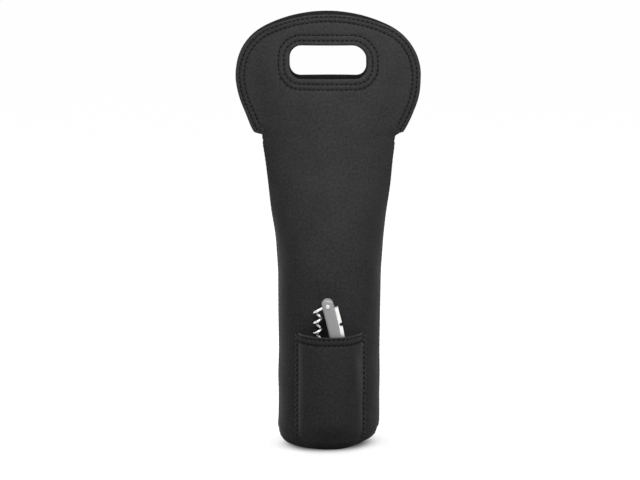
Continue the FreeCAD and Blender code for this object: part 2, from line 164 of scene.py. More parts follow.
class CarrierSizes(bpy.types.PropertyGroup):
    """Sizes of the sewn carrier."""

    sheet: length("Sheet", "Thickness of the neoprene", BASE_HIGH.z)
    body_radius: length("Body radius", "Outside of the round lower body", -PANEL_LOW.y)
    base_round: length("Base roll", "Radius where the wall rolls in to the base", BASE_ROUND)
    base_radius: length("Base radius", "Outside of the round base", BASE_HIGH.x)
    taper_start: length("Taper start", "Height where the wall begins to widen", 140 * MM)
    mouth_height: length("Mouth height", "Height where the side seams end", 259 * MM)
    mouth_half_width: length("Mouth half width", "From the middle to a side seam there", 54.8 * MM)
    mouth_half_depth: length("Mouth half depth", "From the seam plane to the wall there", 23 * MM)
    height: length("Height", "Top of the lobes", PANEL_HIGH.z)
    lobe_half_width: length("Lobe half width", "From the middle to its widest point", PANEL_HIGH.x)
    lobe_widest: length("Lobe widest", "Height where the lobe is widest", 309.5 * MM)
    lobe_top_radius: length("Lobe top radius", "Radius of the lobe's flat top arc", 122 * MM)
    ear_half_width: length("Ear half width", "From the middle to an ear's tip", 60.6 * MM)
    ear_height: length("Ear height", "Height of an ear's tip", 261 * MM)
    ear_width: length("Ear width", "Flat underside of an ear", 2.1 * MM)
    ear_round: length("Ear round", "Radius of an ear's tip", 0.8 * MM)
    mouth_blend: length("Mouth blend", "Radius between crown and wing at the mouth", 15 * MM)
    top_half_depth: length("Top half depth", "From the seam plane to the lobe's top", 16 * MM)
    top_wing_gap: length("Top wing gap", "How far the wings stand open at the top", 4 * MM)
    top_crown: length("Top crown", "Radius of the lobe's crown at its top", 200 * MM)
    top_blend: length("Top blend", "Radius between crown and wing at the top", 60 * MM)
    slot_half_width: length("Slot half width", "From the middle to a slot's end", 32.7 * MM)
    slot_low: length("Slot bottom", "Height of the slot's lower edge", 307.6 * MM)
    slot_high: length("Slot top", "Height of the slot's upper edge", 335.3 * MM)
    slot_corner: length("Slot corner", "Radius of the slot's lower corners", 9.6 * MM)
    slot_left_corner: length("Slot left corner", "Radius of its upper left corner", 10.5 * MM)
    slot_right_corner: length("Slot right corner", "Radius of its upper right corner", 13.5 * MM)
    facing_width: length("Facing width", "Width of the ring sewn behind the slot", 10.5 * MM)
    sewn_gap: length("Sewn gap", "Room between two layers that are sewn together", SEWN_GAP)
    cell: length("Cell", "Side of the grid that the sheets are drawn on", 2 * MM)


class PocketSizes(bpy.types.PropertyGroup):
    """Sizes of the patch pocket."""

    left: length("Left edge", "Left sewn edge", POCKET_LOW.x)
    right: length("Right edge", "Right sewn edge", POCKET_HIGH.x)
    sewn_width: length("Sewn width", "How far in from a side's edge it is thinned", 4.5 * MM)
    mouth: length("Mouth height", "Height of the pocket's mouth", POCKET_HIGH.z)
    strip: length("Strip", "Width of the edges that lie flat on the wall", 1.2 * MM)
    clearance: length("Clearance", "Room between the pocket and the corkscrew", 0.8 * MM)
    fullness: FloatProperty(
        name="Fullness",
        description="How square the pocket's section is: 2 is round",
        default=2.2,
        min=1.0,
    )
    corner: length("Corner", "Radius of the upper corners", 2 * MM)
    foot: length("Foot", "Arc below the base roll's start where the pocket ends", 7 * MM)
    foot_thinning: length("Foot thinning", "How much the base seam thins the foot", 2.6 * MM)
    side_thinning: length("Side thinning", "How much the sewing thins the sides", 2.4 * MM)
    zigzag: length("Zigzag", "From a side's edge to the zigzag's holes in the pocket", 4.8 * MM)
    zigzag_low: length("Zigzag low", "Height where the zigzag begins", 10 * MM)
    zigzag_outside: length("Zigzag outside", "From an edge to the holes in the wall", 1.2 * MM)


class StitchSizes(bpy.types.PropertyGroup):
    """Sizes of the sewing."""

    pitch: length("Pitch", "From one stitch to the next", 3.8 * MM)
    zigzag_pitch: length("Zigzag pitch", "From one stroke of a zigzag to the next", 2.15 * MM)
    dash: length("Stitch", "Length of the thread that shows in a stitch", 2.4 * MM)
    thread: length("Thread", "Radius of the thread, drawn coarse so that it shows", 0.55 * MM)
    cover_share: FloatProperty(
        name="Cover share",
        description="Thickness of a zigzag's thread as a share of the other thread's",
        default=0.7,
        min=0.0,
        max=1.0,
        subtype="FACTOR",
    )
    edge_row: length("Edge row", "From the lobe's edge to the outer row", 3.2 * MM)
    edge_inner_row: length("Edge inner row", "From the lobe's edge to the inner row", 7 * MM)
    top_shift: length("Top shift", "How much nearer to the edge they run at the top", 1.3 * MM)
    slot_row: length("Slot row", "From the slot to the inner row", 4 * MM)
    slot_outer_row: length("Slot outer row", "From the slot to the outer row", 8.5 * MM)
    hem_row: length("Hem row", "From the pocket's mouth to the upper row", 2 * MM)
    hem_lower_row: length("Hem lower row", "From the pocket's mouth to the lower row", 6.7 * MM)
    groove: length("Groove", "How deep a row pulls into the sheet", 0.75 * MM)
    groove_width: length("Groove width", "Reach of a row's groove to each side", 0.9 * MM)


class CarrierColours(bpy.types.PropertyGroup):
    """Colours of the finishes."""

    jersey: colour("Jersey", "Knit face of the neoprene", "#262627")
    jersey_pale: colour("Pale jersey", "Knit face where the loops catch light", "#3c3c3d")
    # Painted shade: the near black that the jersey is darkened towards in the sewn grooves
    painted_groove_shade: colour("Pressed jersey", "Knit face pulled in by the sewing", "#0e0e0f")
    # Painted shade: the inner face is the jersey coloured darker, standing in for the shade inside
    # the carrier
    painted_shade_lining: colour("Lining", "Knit inner face of the neoprene", "#161617")
    painted_shade_lining_pale: colour("Pale lining", "Inner face where the loops catch light", "#272728")
    thread: colour("Thread", "Sewing thread", "#151516")
    cover_thread: colour("Cover thread", "Thread that crosses between two rows", "#333334")
    # Painted highlight: paler than the black thread, standing in for the lustre of the threads at
    # the pocket's sides
    pocket_thread_painted_highlight: colour("Pocket thread", "Thread that sews the pocket's sides down", "#343435")
    handle: colour("Handle", "Corkscrew scales", "#9a9a9b")
    spacer: colour("Spacer", "Spacer between the scales", "#1c1c1d")
    steel: colour("Steel", "Polished steel", "#d6d6d4")
    lever: colour("Lever", "Brushed steel of the lever", "#ecece9")
    floor: colour("Floor", "Floor as it is seen", "#808080")
    floor_bounce: colour("Floor bounce", "Floor as it lights the carrier", "#b0b0b0")


# Curves and surfaces


def eased(share, knots, values):
    """A smooth run through values at knots, level at the first knot."""
    knots, values = np.array(knots), np.array(values)
    steps = np.diff(values) / np.diff(knots)
    slopes = np.concatenate([[0.0], (steps[1:] + steps[:-1]) / 2, [steps[-1]]])
    i = np.clip(np.searchsorted(knots, share, side="right") - 1, 0, len(knots) - 2)
    width = knots[i + 1] - knots[i]
    t = (share - knots[i]) / width
    return (
        values[i] * (1 + 2 * t) * (1 - t) ** 2
        + slopes[i] * width * t * (1 - t) ** 2
        + values[i + 1] * t * t * (3 - 2 * t)
        + slopes[i + 1] * width * t * t * (t - 1)
    )


def smooth(low, high, value):
    """A smooth step from 0 at low to 1 at high."""
    t = np.clip((value - low) / (high - low), 0, 1)
    return t * t * (3 - 2 * t)


def arc_radius(half_width, rise):
    """The radius of an arc that rises by so much over half its width."""
    return (half_width**2 + rise**2) / (2 * rise)


def wall_arc(sizes, z):
    """Radius, half depth and half angle of the wall's arc at a height."""
    share = (z - sizes.taper_start) / (sizes.mouth_height - sizes.taper_start)
    share = np.clip(share, 0, 1)
    widths = eased(share, TAPER_HEIGHT_SHARES, TAPER_WIDTH_SHARES)
    depths = eased(share, TAPER_HEIGHT_SHARES, TAPER_DEPTH_SHARES)
    half_width = sizes.body_radius + (sizes.mouth_half_width - sizes.body_radius) * widths
    half_depth = sizes.body_radius + (sizes.mouth_half_depth - sizes.body_radius) * depths
    radius = arc_radius(half_width, half_depth)
    return radius, half_depth, np.arctan2(half_width, radius - half_depth)


def wall_point(sizes, s, q):
    """The wall's outer face: s runs round it from the middle, q up it from the base seam."""
    radius, half_depth, _ = wall_arc(sizes, np.maximum(q, sizes.base_round))
    angle = s / radius
    roll = np.clip((sizes.base_round - q) / sizes.base_round, 0, math.pi / 2)
    reach = radius - sizes.base_round * (1 - np.cos(roll))
    z = np.where(q < sizes.base_round, sizes.base_round * (1 - np.sin(roll)), q)
    return np.stack([reach * np.sin(angle), radius - half_depth - reach * np.cos(angle), z], -1)


def lobe_arcs(sizes, z):
    """The lobe at a height: crown and blend radius, half and wing depth, blend x, crown angle."""
    past_top = 1.1
    share = (z - sizes.mouth_height) / (sizes.height - sizes.mouth_height)
    share = np.clip(share, 0, past_top)
    mouth_crown = arc_radius(sizes.mouth_half_width, sizes.mouth_half_depth)
    crown = mouth_crown + (sizes.top_crown - mouth_crown) * share
    blend = sizes.mouth_blend + (sizes.top_blend - sizes.mouth_blend) * share
    half_depth = sizes.mouth_half_depth + (sizes.top_half_depth - sizes.mouth_half_depth) * share
    wing = sizes.sheet + sizes.sewn_gap + sizes.top_wing_gap * share
    fall = half_depth - wing
    blend_x = np.sqrt(fall * (2 * (crown + blend) - fall))
    return crown, blend, half_depth, wing, blend_x, np.arcsin(blend_x / (crown + blend))


def lobe_point(sizes, s, z):
    """The lobe's outer face: a crown arc, two blend arcs and two flat wings."""
    crown, blend, half_depth, wing, blend_x, turn = lobe_arcs(sizes, z)
    run = np.abs(s)
    on_crown = np.minimum(run, crown * turn) / crown
    left_over = np.clip(turn - (run - crown * turn) / blend, 0, turn)
    past = np.maximum(run - (crown + blend) * turn, 0)
    is_crown = run < crown * turn
    x = np.where(is_crown, crown * np.sin(on_crown), blend_x - blend * np.sin(left_over) + past)
    crown_y = crown * (1 - np.cos(on_crown)) - half_depth
    y = np.where(is_crown, crown_y, blend * (np.cos(left_over) - 1) - wing)
    return np.stack([np.sign(s) * x, y, z], -1)


def lobe_run(sizes, x, z):
    """How far round the lobe's face a point of the front view lies from the middle."""
    crown, blend, _, _, blend_x, turn = lobe_arcs(sizes, z)
    reach = np.abs(x)
    on_crown = crown * np.arcsin(np.minimum(reach / crown, np.sin(turn)))
    left_over = np.arcsin(np.clip((blend_x - reach) / blend, 0, np.sin(turn)))
    past = np.maximum(reach - blend_x, 0)
    off_crown = (crown + blend) * turn - blend * left_over + past
    return np.sign(x) * np.where(reach < crown * np.sin(turn), on_crown, off_crown)


def panel_point(sizes, s, q):
    """The front panel's outer face from the base seam to the top of the lobe."""
    low, high = sizes.mouth_height - MOUTH_EASE_BELOW, sizes.mouth_height + MOUTH_EASE_ABOVE
    share = smooth(low, high, q)[..., None]
    wall = wall_point(sizes, s, np.minimum(q, high))
    return wall * (1 - share) + lobe_point(sizes, s, np.maximum(q, low)) * share


def settled(points):
    """Points of the sewn carrier as it stands.

    Its sides swell, its foot spreads in front and lifts at its right, and its lobes lean.
    """
    x, y, z = points.T
    heights, left, right = np.array(SWAY).T * MM
    side = np.clip(x / SWAY_REACH, -1, 1)
    height = np.clip(z, 0, heights[-1])
    push = np.where(side > 0, eased(height, heights, right), eased(height, heights, left))
    front = y < 0
    back_lean = BACK_LEAN * np.clip((z - BACK_LEAN_START) / BACK_LEAN_RUN, 0, 1)
    lean = np.where(front, FRONT_LEAN * smooth(*FRONT_LEAN_SPAN, z), back_lean)
    rise = np.where(front, 0, BACK_RISE) * smooth(*BACK_RISE_SPAN, z)
    lift = FOOT_LIFT * smooth(*FOOT_LIFT_ACROSS, x) * smooth(*FOOT_LIFT_FORWARD, -y)
    rise = rise + lift * np.clip(1 - z / FOOT_LIFT_HEIGHT, 0, 1) ** 2
    flare = FOOT_SPREAD * np.clip(1 - z / FOOT_SPREAD_HEIGHT, 0, 1) ** 2
    flare = flare * np.clip(-y / FOOT_SPREAD_DEPTH, 0, 1) ** FOOT_SPREAD_POWER
    moved = points + np.outer(push * side * np.abs(side) - lean, (1, 0, 0))
    moved = moved + np.outer(rise, (0, 0, 1))
    return moved + points * np.array([1, 1, 0]) / FOOT_SPREAD_RADIUS * flare[:, None]


def face_normal(face, s, q):
    """The outward direction of a face, from its change over a small step."""
    step = 0.05 * MM
    across = face(s + step, q) - face(s - step, q)
    up = face(s, q + step) - face(s, q - step)
    normal = np.cross(across, up)
    return normal / np.linalg.norm(normal, axis=-1, keepdims=True)


def ripple(flat, wave, seed):
    """A gentle unevenness between -1 and 1, with waves of about one length in all directions."""
    count, shortest, spread_over = 5, 0.75, 12
    s, q = flat[:, 0], flat[:, 1]
    turns = np.random.default_rng(seed).uniform(0, 2 * math.pi, (count, 3))
    total = 0
    for heading, phase, stretch in turns:
        scale = 2 * math.pi / (wave * (shortest + stretch / spread_over))
        total = total + np.sin((s * math.cos(heading) + q * math.sin(heading)) * scale + phase)
    return total / count


def panel_sway(flat, seed):
    """How far a panel stands proud of its plain form."""
    return sum(height * ripple(flat, wave, seed + first) for height, wave, first in PANEL_WAVES)


def pocket_sway(flat):
    """How far the pocket stands proud of its plain form."""
    height, wave, seed = POCKET_WAVE
    return height * ripple(flat, wave, seed)


# Lines and outlines


def closed_line(loop):
    """A loop as a line that ends where it starts."""
    return np.concatenate([loop, loop[:1]])


def mirrored(line):
    """A line of the front view on the other side of the middle, run the other way."""
    return line[::-1] * np.array([-1, 1])


def run_along(line):
    """How far along a line each of its points lies."""
    return np.concatenate([[0], np.cumsum(np.linalg.norm(np.diff(line, axis=0), axis=1))])


def points_at(places, runs, line):
    """The points at some places along a line."""
    return np.stack([np.interp(places, runs, axis) for axis in line.T], 1)


def even(points, spacing, closed=False):
    """The same line with points at an even spacing."""
    apart, fewest = 1e-9, 3
    points = closed_line(points) if closed else np.array(points)
    runs = run_along(points)
    keep = np.concatenate([[True], np.diff(runs) > apart])
    points, runs = points[keep], runs[keep]
    count = max(int(round(runs[-1] / spacing)), fewest)
    places = np.linspace(0, runs[-1], count + 1)[: count if closed else count + 1]
    return points_at(places, runs, points)


def arc_points(centre, radius, start, end, count):
    """Points on an arc of the front view, its ends included."""
    angles = np.linspace(start, end, count)
    return np.stack([centre[0] + radius * np.cos(angles), centre[1] + radius * np.sin(angles)], 1)


def rounded_corner(before, corner, after, radius):
    """A corner of a line, rounded with a radius."""
    count = 7
    back, ahead = before - corner, after - corner
    back, ahead = back / np.linalg.norm(back), ahead / np.linalg.norm(ahead)
    half = math.acos(np.clip(back @ ahead, -1, 1)) / 2
    run = radius / math.tan(half)
    centre = corner + (back + ahead) / np.linalg.norm(back + ahead) * radius / math.sin(half)
    start, end = corner + back * run - centre, corner + ahead * run - centre
    share = np.linspace(0, 1, count)[:, None]
    points = start * (1 - share) + end * share
    return centre + points / np.linalg.norm(points, axis=1, keepdims=True) * radius


def lobe_edge(sizes):
    """The right half of the lobe's free edge in the front view, from the ear's tip to the top."""
    flank_points, round_points = 40, 60
    top_radius, half_width = sizes.lobe_top_radius, sizes.lobe_half_width
    rise = sizes.lobe_widest - sizes.height + top_radius
    radius = (top_radius**2 - half_width**2 - rise**2) / (2 * (top_radius - half_width))
    top = (0, sizes.height - top_radius)
    shoulder = (half_width - radius, sizes.lobe_widest)
    meet = math.atan2(shoulder[1] - top[1], shoulder[0])
    flank = arc_radius(sizes.lobe_widest - sizes.ear_height, half_width - sizes.ear_half_width)
    flank_centre = (half_width - flank, sizes.lobe_widest)
    low = math.atan2(sizes.ear_height - flank_centre[1], sizes.ear_half_width - flank_centre[0])
    arcs = [
        arc_points(flank_centre, flank, low, 0, flank_points),
        arc_points(shoulder, radius, 0, meet, round_points)[1:],
        arc_points(top, top_radius, meet, math.pi / 2, round_points)[1:],
    ]
    return np.concatenate(arcs)


def panel_lines(sizes):
    """The panel's cut as lines: the base seam, the right side seam and the lobe's free edge."""
    seam_points, base_points, halvings, longest = 160, 80, 40, 1.2
    low = sizes.base_round * (1 - math.pi / 2)
    q = np.linspace(low, sizes.mouth_height, seam_points)
    radius, _, half_angle = wall_arc(sizes, np.maximum(q, sizes.base_round))
    side = radius * np.sin(half_angle) - sizes.sewn_gap
    # Near the mouth the run to the seam is found by halving
    low_run, high_run = np.zeros_like(q), longest * radius * half_angle
    for _ in range(halvings):
        run = (low_run + high_run) / 2
        short = panel_point(sizes, run, q)[:, 0] < side
        low_run, high_run = np.where(short, run, low_run), np.where(short, high_run, run)
    on_arc = q < sizes.mouth_height - SEAM_EASE
    run = np.where(on_arc, radius * half_angle - sizes.sewn_gap, run)
    seam = np.stack([run, q], 1)
    edge = lobe_edge(sizes)
    edge[:, 0] = lobe_run(sizes, edge[:, 0], edge[:, 1])
    under = edge[0] - np.array([sizes.ear_width, 0])
    # The rounded tip takes the place of the edge's first points and heads for one further up
    tip_points, heading = 3, 6
    tip = rounded_corner(under, edge[0], edge[heading], sizes.ear_round)
    free = np.concatenate([[under], tip, edge[tip_points:]])
    across = np.linspace(-seam[0, 0], seam[0, 0], base_points)
    return np.stack([across, np.full(base_points, low)], 1), seam, free


def slot_loop(sizes, margin):
    """The hand slot's outline on the lobe's face, larger by a margin, run clockwise."""
    corner_points = 16
    half = sizes.slot_half_width + margin
    low, high = sizes.slot_low - margin, sizes.slot_high + margin
    corners = (
        (1, low, 1, sizes.slot_corner, -math.pi / 2),
        (1, high, -1, sizes.slot_right_corner, 0),
        (-1, high, -1, sizes.slot_left_corner, math.pi / 2),
        (-1, low, 1, sizes.slot_corner, math.pi),
    )
    loop = []
    for side, level, up, corner, start in corners:
        radius = corner + margin
        centre = (side * (half - radius), level + up * radius)
        loop.extend(arc_points(centre, radius, start, start + math.pi / 2, corner_points))
    loop = even(loop, SLOT_SPACING, closed=True)
    loop[:, 0] = lobe_run(sizes, loop[:, 0], loop[:, 1])
    return loop[::-1]


# Sheets


def inward(loop):
    """The direction into the sheet at each point of a loop that has the sheet on its left."""
    ahead = np.roll(loop, -1, 0) - np.roll(loop, 1, 0)
    left = np.stack([-ahead[:, 1], ahead[:, 0]], 1)
    return left / np.linalg.norm(left, axis=1, keepdims=True)


def nearest(points, line):
    """Distance from each point to a line, and the place along the line."""
    batch = 2000
    start, run = line[:-1], np.diff(line, axis=0)
    squared = np.sum(run**2, 1)
    lengths = np.concatenate([[0], np.cumsum(np.sqrt(squared))[:-1]])
    found, place = np.empty(len(points)), np.empty(len(points))
    for low in range(0, len(points), batch):
        part = points[low : low + batch]
        away = part[:, None, :] - start[None]
        t = np.clip(np.sum(away * run[None], 2) / squared, 0, 1)
        gaps = np.linalg.norm(away - t[..., None] * run[None], axis=2)
        best = np.argmin(gaps, 1)
        rows = np.arange(len(part))
        found[low : low + batch] = gaps[rows, best]
        place[low : low + batch] = lengths[best] + t[rows, best] * np.sqrt(squared[best])
    return found, place


def edge_gap(points, loops):
    """Distance from each point to the nearest edge of a cut."""
    return np.min([nearest(points, closed_line(loop))[0] for loop in loops], 0)


def inside(points, loop):
    """Which points lie inside a loop."""
    found = np.zeros(len(points), bool)
    x, y = points[:, 0], points[:, 1]
    for (ax, ay), (bx, by) in zip(loop, np.roll(loop, -1, 0)):
        if ay != by:
            crosses = (ay > y) != (by > y)
            found ^= crosses & (x < (bx - ax) * (y - ay) / (by - ay) + ax)
    return found


def on_cut(points, loops):
    """Which points lie inside a cut's outline and outside its holes."""
    found = inside(points, loops[0])
    for hole in loops[1:]:
        found &= ~inside(points, hole)
    return found


def triangle_grid(low, high, spacing):
    """Points of an even triangular grid between two corners."""
    grid = []
    for i, row in enumerate(np.arange(low[1], high[1], spacing * math.sqrt(3) / 2)):
        columns = np.arange(low[0] + spacing * (0.25 + 0.5 * (i % 2)), high[0], spacing)
        grid.append(np.stack([columns, np.full(len(columns), row)], 1))
    return np.concatenate(grid)


def fill_flat(loops, spacing, edge_radius, fine_reach):
    """Points and triangles of a flat cut: its outline, its holes and close rings along them."""
    # Rings close together over the round edge, then half a cell apart as far as the fine reach
    edge_rings, first_fine_ring, fine_share = (0.06, 0.22, 0.5, 0.9), 1.6, 0.5
    ring_room, grid_room, same_point = 0.96, 0.45, 1e-7
    rings = [edge_radius * share for share in edge_rings]
    rings += list(np.arange(edge_radius * first_fine_ring, fine_reach, spacing * fine_share))
    points, edges = [], []
    for loop in loops:
        first = len(points)
        points.extend(loop)
        edges.extend((first + i, first + (i + 1) % len(loop)) for i in range(len(loop)))
    extra, wanted = [], []
    for loop in loops:
        way = inward(loop)
        for ring in rings:
            every = 1 if ring < edge_radius else 2 if ring < fine_reach / 2 else 3
            extra.append((loop + way * ring)[::every])
            wanted.append(np.full(len(extra[-1]), ring))
    extra, wanted = np.concatenate(extra), np.concatenate(wanted)
    # A ring's points are dropped where another edge is nearer, and the grid's next to the rings
    extra = extra[edge_gap(extra, loops) > wanted * ring_room]
    grid = triangle_grid(loops[0].min(0), loops[0].max(0), spacing)
    grid = grid[edge_gap(grid, loops) > rings[-1] + spacing * grid_room]
    inner = np.concatenate([extra, grid])
    points = np.concatenate([np.array(points), inner[on_cut(inner, loops)]])
    found = delaunay_2d_cdt([Vector(p) for p in points], edges, [], 0, same_point)
    flat = np.array([tuple(v) for v in found[0]])
    triangles = np.array(found[2])
    triangles = triangles[on_cut(flat[triangles].mean(1), loops)]
    a, b, c = (flat[triangles[:, i]] for i in range(3))
    turn = (b[:, 0] - a[:, 0]) * (c[:, 1] - a[:, 1]) - (b[:, 1] - a[:, 1]) * (c[:, 0] - a[:, 0])
    triangles[turn < 0] = triangles[turn < 0][:, ::-1]
    return flat, triangles


def sheet_object(
    name, loops, face, relief, finishes, thickness, spacing, fine_reach, depth=0, flip=False
):
    """A sheet with a round edge, cut along loops and laid on a face at a depth behind it.

    Relief gives how far it stands proud of that at its outer and inner side, and where the sewing
    presses it, which the jersey shows as painted shade. The first of its finishes is the outer
    side's and the last the inner side's.
    """
    edge_radius, at_edge = thickness / 2, 1e-6
    flat, triangles = fill_flat(loops, spacing, edge_radius, fine_reach)
    gap = edge_gap(flat, loops)
    normal = face_normal(face, flat[:, 0], flat[:, 1])
    middle = face(flat[:, 0], flat[:, 1]) - normal * (depth + edge_radius)
    share = np.sqrt(np.clip(1 - (1 - np.minimum(gap / edge_radius, 1)) ** 2, 0, 1))
    proud, behind, painted_groove_shade = relief(flat)
    shift, half = (proud - behind) / 2, edge_radius + (proud + behind) / 2
    outer = middle + normal * (shift + half * share)[:, None]
    inner = middle + normal * (shift - half * share)[:, None]
    # The two sides share the points of the edge
    rim = gap < at_edge
    lower = np.where(rim, np.arange(len(flat)), 0)
    lower[~rim] = len(flat) + np.arange(np.sum(~rim))
    vertices = np.concatenate([outer, inner[~rim]])
    faces = np.concatenate([triangles, lower[triangles][:, ::-1]])
    if flip:
        vertices = vertices * np.array([1, -1, 1])
        faces = faces[:, ::-1]
    mesh = bpy.data.meshes.new(name)
    mesh.from_pydata(settled(vertices).tolist(), [], faces.tolist())
    places = np.concatenate([flat, flat[~rim]])
    corner = np.empty(len(mesh.loops), np.int32)
    mesh.loops.foreach_get("vertex_index", corner)
    flat_map = mesh.uv_layers.new(name=FLAT_MAP)
    flat_map.data.foreach_set("uv", places[corner].astype(np.float32).ravel())
    # The painted groove shade, nothing on the inner side's own points
    drawn = np.concatenate([painted_groove_shade, np.zeros(np.sum(~rim))]).astype(np.float32)
    mesh.attributes.new(PAINTED_GROOVE_SHADE, "FLOAT", "POINT").data.foreach_set("value", drawn)
    mesh.polygons.foreach_set("use_smooth", np.ones(len(mesh.polygons), bool))
    for finish in finishes:
        mesh.materials.append(finish)
    sides = np.repeat((0, len(finishes) - 1), len(triangles)).astype(np.int32)
    mesh.polygons.foreach_set("material_index", sides)
    mesh.update()
    piece = bpy.data.objects.new(name, mesh)
    bpy.context.scene.collection.objects.link(piece)
    return piece


def declare_sheet(piece, node):
    """Hang a sheet on the carrier's body and hide the CAD node that it stands for."""
    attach(piece, "carrier")
    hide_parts(node)


def sewn_rows(gap, rows, stitch):
    """How far the sheet is pulled in along rows of stitching, from 0 to 1."""
    return sum(np.exp(-(((gap - row) / stitch.groove_width) ** 2)) for row in rows)


def row_shift(sizes, stitch, q):
    """How much nearer to the lobe's edge its rows run at a height."""
    return stitch.top_shift * smooth(sizes.height - TOP_SHIFT_RUN, sizes.height, q)


# Materials


def add_node(tree, kind, inputs=None, **settings):
    """Add a node with its settings, and set or link its inputs by name or number."""
    node = tree.nodes.new(kind)
    for key, value in settings.items():
        setattr(node, key, value)
    for key, value in (inputs or {}).items():
        if isinstance(value, bpy.types.NodeSocket):
            tree.links.new(value, node.inputs[key])
        else:
            node.inputs[key].default_value = value
    return node


def new_material(name):
    """A material and its empty node tree, or no tree where the material is already made."""
    material = bpy.data.materials.get(name)
    if material is not None:
        return material, None
    material = bpy.data.materials.new(name)
    material.use_nodes = True
    material.node_tree.nodes.clear()
    return material, material.node_tree


def neoprene_jersey(name, dark, pale, painted_shade_colour):
    """Neoprene foam faced with knit nylon jersey: matt and grained, with a soft pale bloom."""
    material, tree = new_material(name)
    if tree is None:
        return material
    # Wales and courses are about twice as coarse as in the real knit, so that the grain shows
    wale, course, mottle, cloud = 1.1 * MM, 0.9 * MM, 2.2 * MM, 24 * MM
    # Where the share of pale loops begins, and what the mottle, the clouds and the knit add to it
    least_pale, mottle_share, cloud_share, knit_share = -0.47, 1.5, 0.45, 0.16
    knit_height, grain_height, painted_shade_share = 0.5, 0.25 * MM, 0.22
    least_rough, rough_spread = 0.74, 0.2
    place = add_node(tree, "ShaderNodeUVMap", uv_map=FLAT_MAP).outputs[0]
    axes = add_node(tree, "ShaderNodeSeparateXYZ", {0: place}).outputs
    waves = []
    for axis, pitch in ((0, wale), (1, course)):
        inputs = {0: axes[axis], 1: 2 * math.pi / pitch}
        turn = add_node(tree, "ShaderNodeMath", inputs, operation="MULTIPLY").outputs[0]
        waves.append(add_node(tree, "ShaderNodeMath", {0: turn}, operation="SINE").outputs[0])
    inputs = {0: waves[0], 1: waves[1]}
    knit = add_node(tree, "ShaderNodeMath", inputs, operation="MULTIPLY").outputs[0]
    inputs = {"Vector": place, "Scale": 1 / mottle, "Detail": 3.0, "Roughness": 0.6}
    fuzz = add_node(tree, "ShaderNodeTexNoise", inputs).outputs[0]
    inputs = {"Vector": place, "Scale": 1 / cloud, "Detail": 2.0}
    shade = add_node(tree, "ShaderNodeTexNoise", inputs).outputs[0]
    mixed = least_pale
    for pattern, share in ((fuzz, mottle_share), (shade, cloud_share), (knit, knit_share)):
        inputs = {0: pattern, 1: share, 2: mixed}
        adding = add_node(tree, "ShaderNodeMath", inputs, operation="MULTIPLY_ADD")
        mixed = adding.outputs[0]
    adding.use_clamp = True
    inputs = {0: mixed, 6: dark, 7: pale}
    face = add_node(tree, "ShaderNodeMix", inputs, data_type="RGBA").outputs[2]
    # Painted shade: where the sewing pulls the knit in, the face is mixed towards a near black, in
    # place of the shade in the grooves
    pull = add_node(tree, "ShaderNodeAttribute", attribute_name=PAINTED_GROOVE_SHADE).outputs["Fac"]
    inputs = {0: pull, 1: painted_shade_share}
    painted_shade = add_node(tree, "ShaderNodeMath", inputs, operation="MULTIPLY", use_clamp=True).outputs[0]
    inputs = {0: painted_shade, 6: face, 7: painted_shade_colour}
    face = add_node(tree, "ShaderNodeMix", inputs, data_type="RGBA").outputs[2]
    inputs = {0: knit, 1: knit_height, 2: fuzz}
    height = add_node(tree, "ShaderNodeMath", inputs, operation="MULTIPLY_ADD").outputs[0]
    inputs = {"Height": height, "Strength": 0.35, "Distance": grain_height}
    bump = add_node(tree, "ShaderNodeBump", inputs).outputs[0]
    inputs = {0: fuzz, 1: rough_spread, 2: least_rough}
    rough = add_node(tree, "ShaderNodeMath", inputs, operation="MULTIPLY_ADD").outputs[0]
    inputs = {
        "Base Color": face,
        "Roughness": rough,
        "Normal": bump,
        "IOR": 1.45,
        "Specular IOR Level": 0.03,
        "Sheen Weight": 0.06,
        "Sheen Roughness": 0.45,
    }
    shader = add_node(tree, "ShaderNodeBsdfPrincipled", inputs)
    add_node(tree, "ShaderNodeOutputMaterial", {0: shader.outputs[0]})
    return material


def sheet_finishes(colours):
    """The finishes of a sheet's outer and inner face; the inner one is darker, as painted shade for
    the inside.
    """
    outer = neoprene_jersey(
        "neoprene_jersey", colours.jersey, colours.jersey_pale, colours.painted_groove_shade
    )
    inner = neoprene_jersey(
        "neoprene_painted_shade_lining", colours.painted_shade_lining, colours.painted_shade_lining_pale, colours.painted_groove_shade
    )
    return outer, inner


def polyester_thread(name, base):
    """Twisted polyester sewing thread: dark, with a faint lustre on the strands."""
    material, tree = new_material(name)
    if tree is None:
        return material
    strand, strand_height = 0.6 * MM, 0.2 * MM
    least_rough, rough_spread = 0.5, 0.3
    place = add_node(tree, "ShaderNodeTexCoord").outputs["Object"]
    inputs = {"Vector": place, "Scale": 1 / strand, "Detail": 2.0}
    twist = add_node(tree, "ShaderNodeTexNoise", inputs).outputs[0]
    inputs = {"Height": twist, "Strength": 0.4, "Distance": strand_height}
    bump = add_node(tree, "ShaderNodeBump", inputs).outputs[0]
    inputs = {0: twist, 1: rough_spread, 2: least_rough}
    rough = add_node(tree, "ShaderNodeMath", inputs, operation="MULTIPLY_ADD").outputs[0]
    inputs = {"Base Color": base, "Roughness": rough, "Normal": bump, "Specular IOR Level": 0.05}
    shader = add_node(tree, "ShaderNodeBsdfPrincipled", inputs)
    add_node(tree, "ShaderNodeOutputMaterial", {0: shader.outputs[0]})
    return material


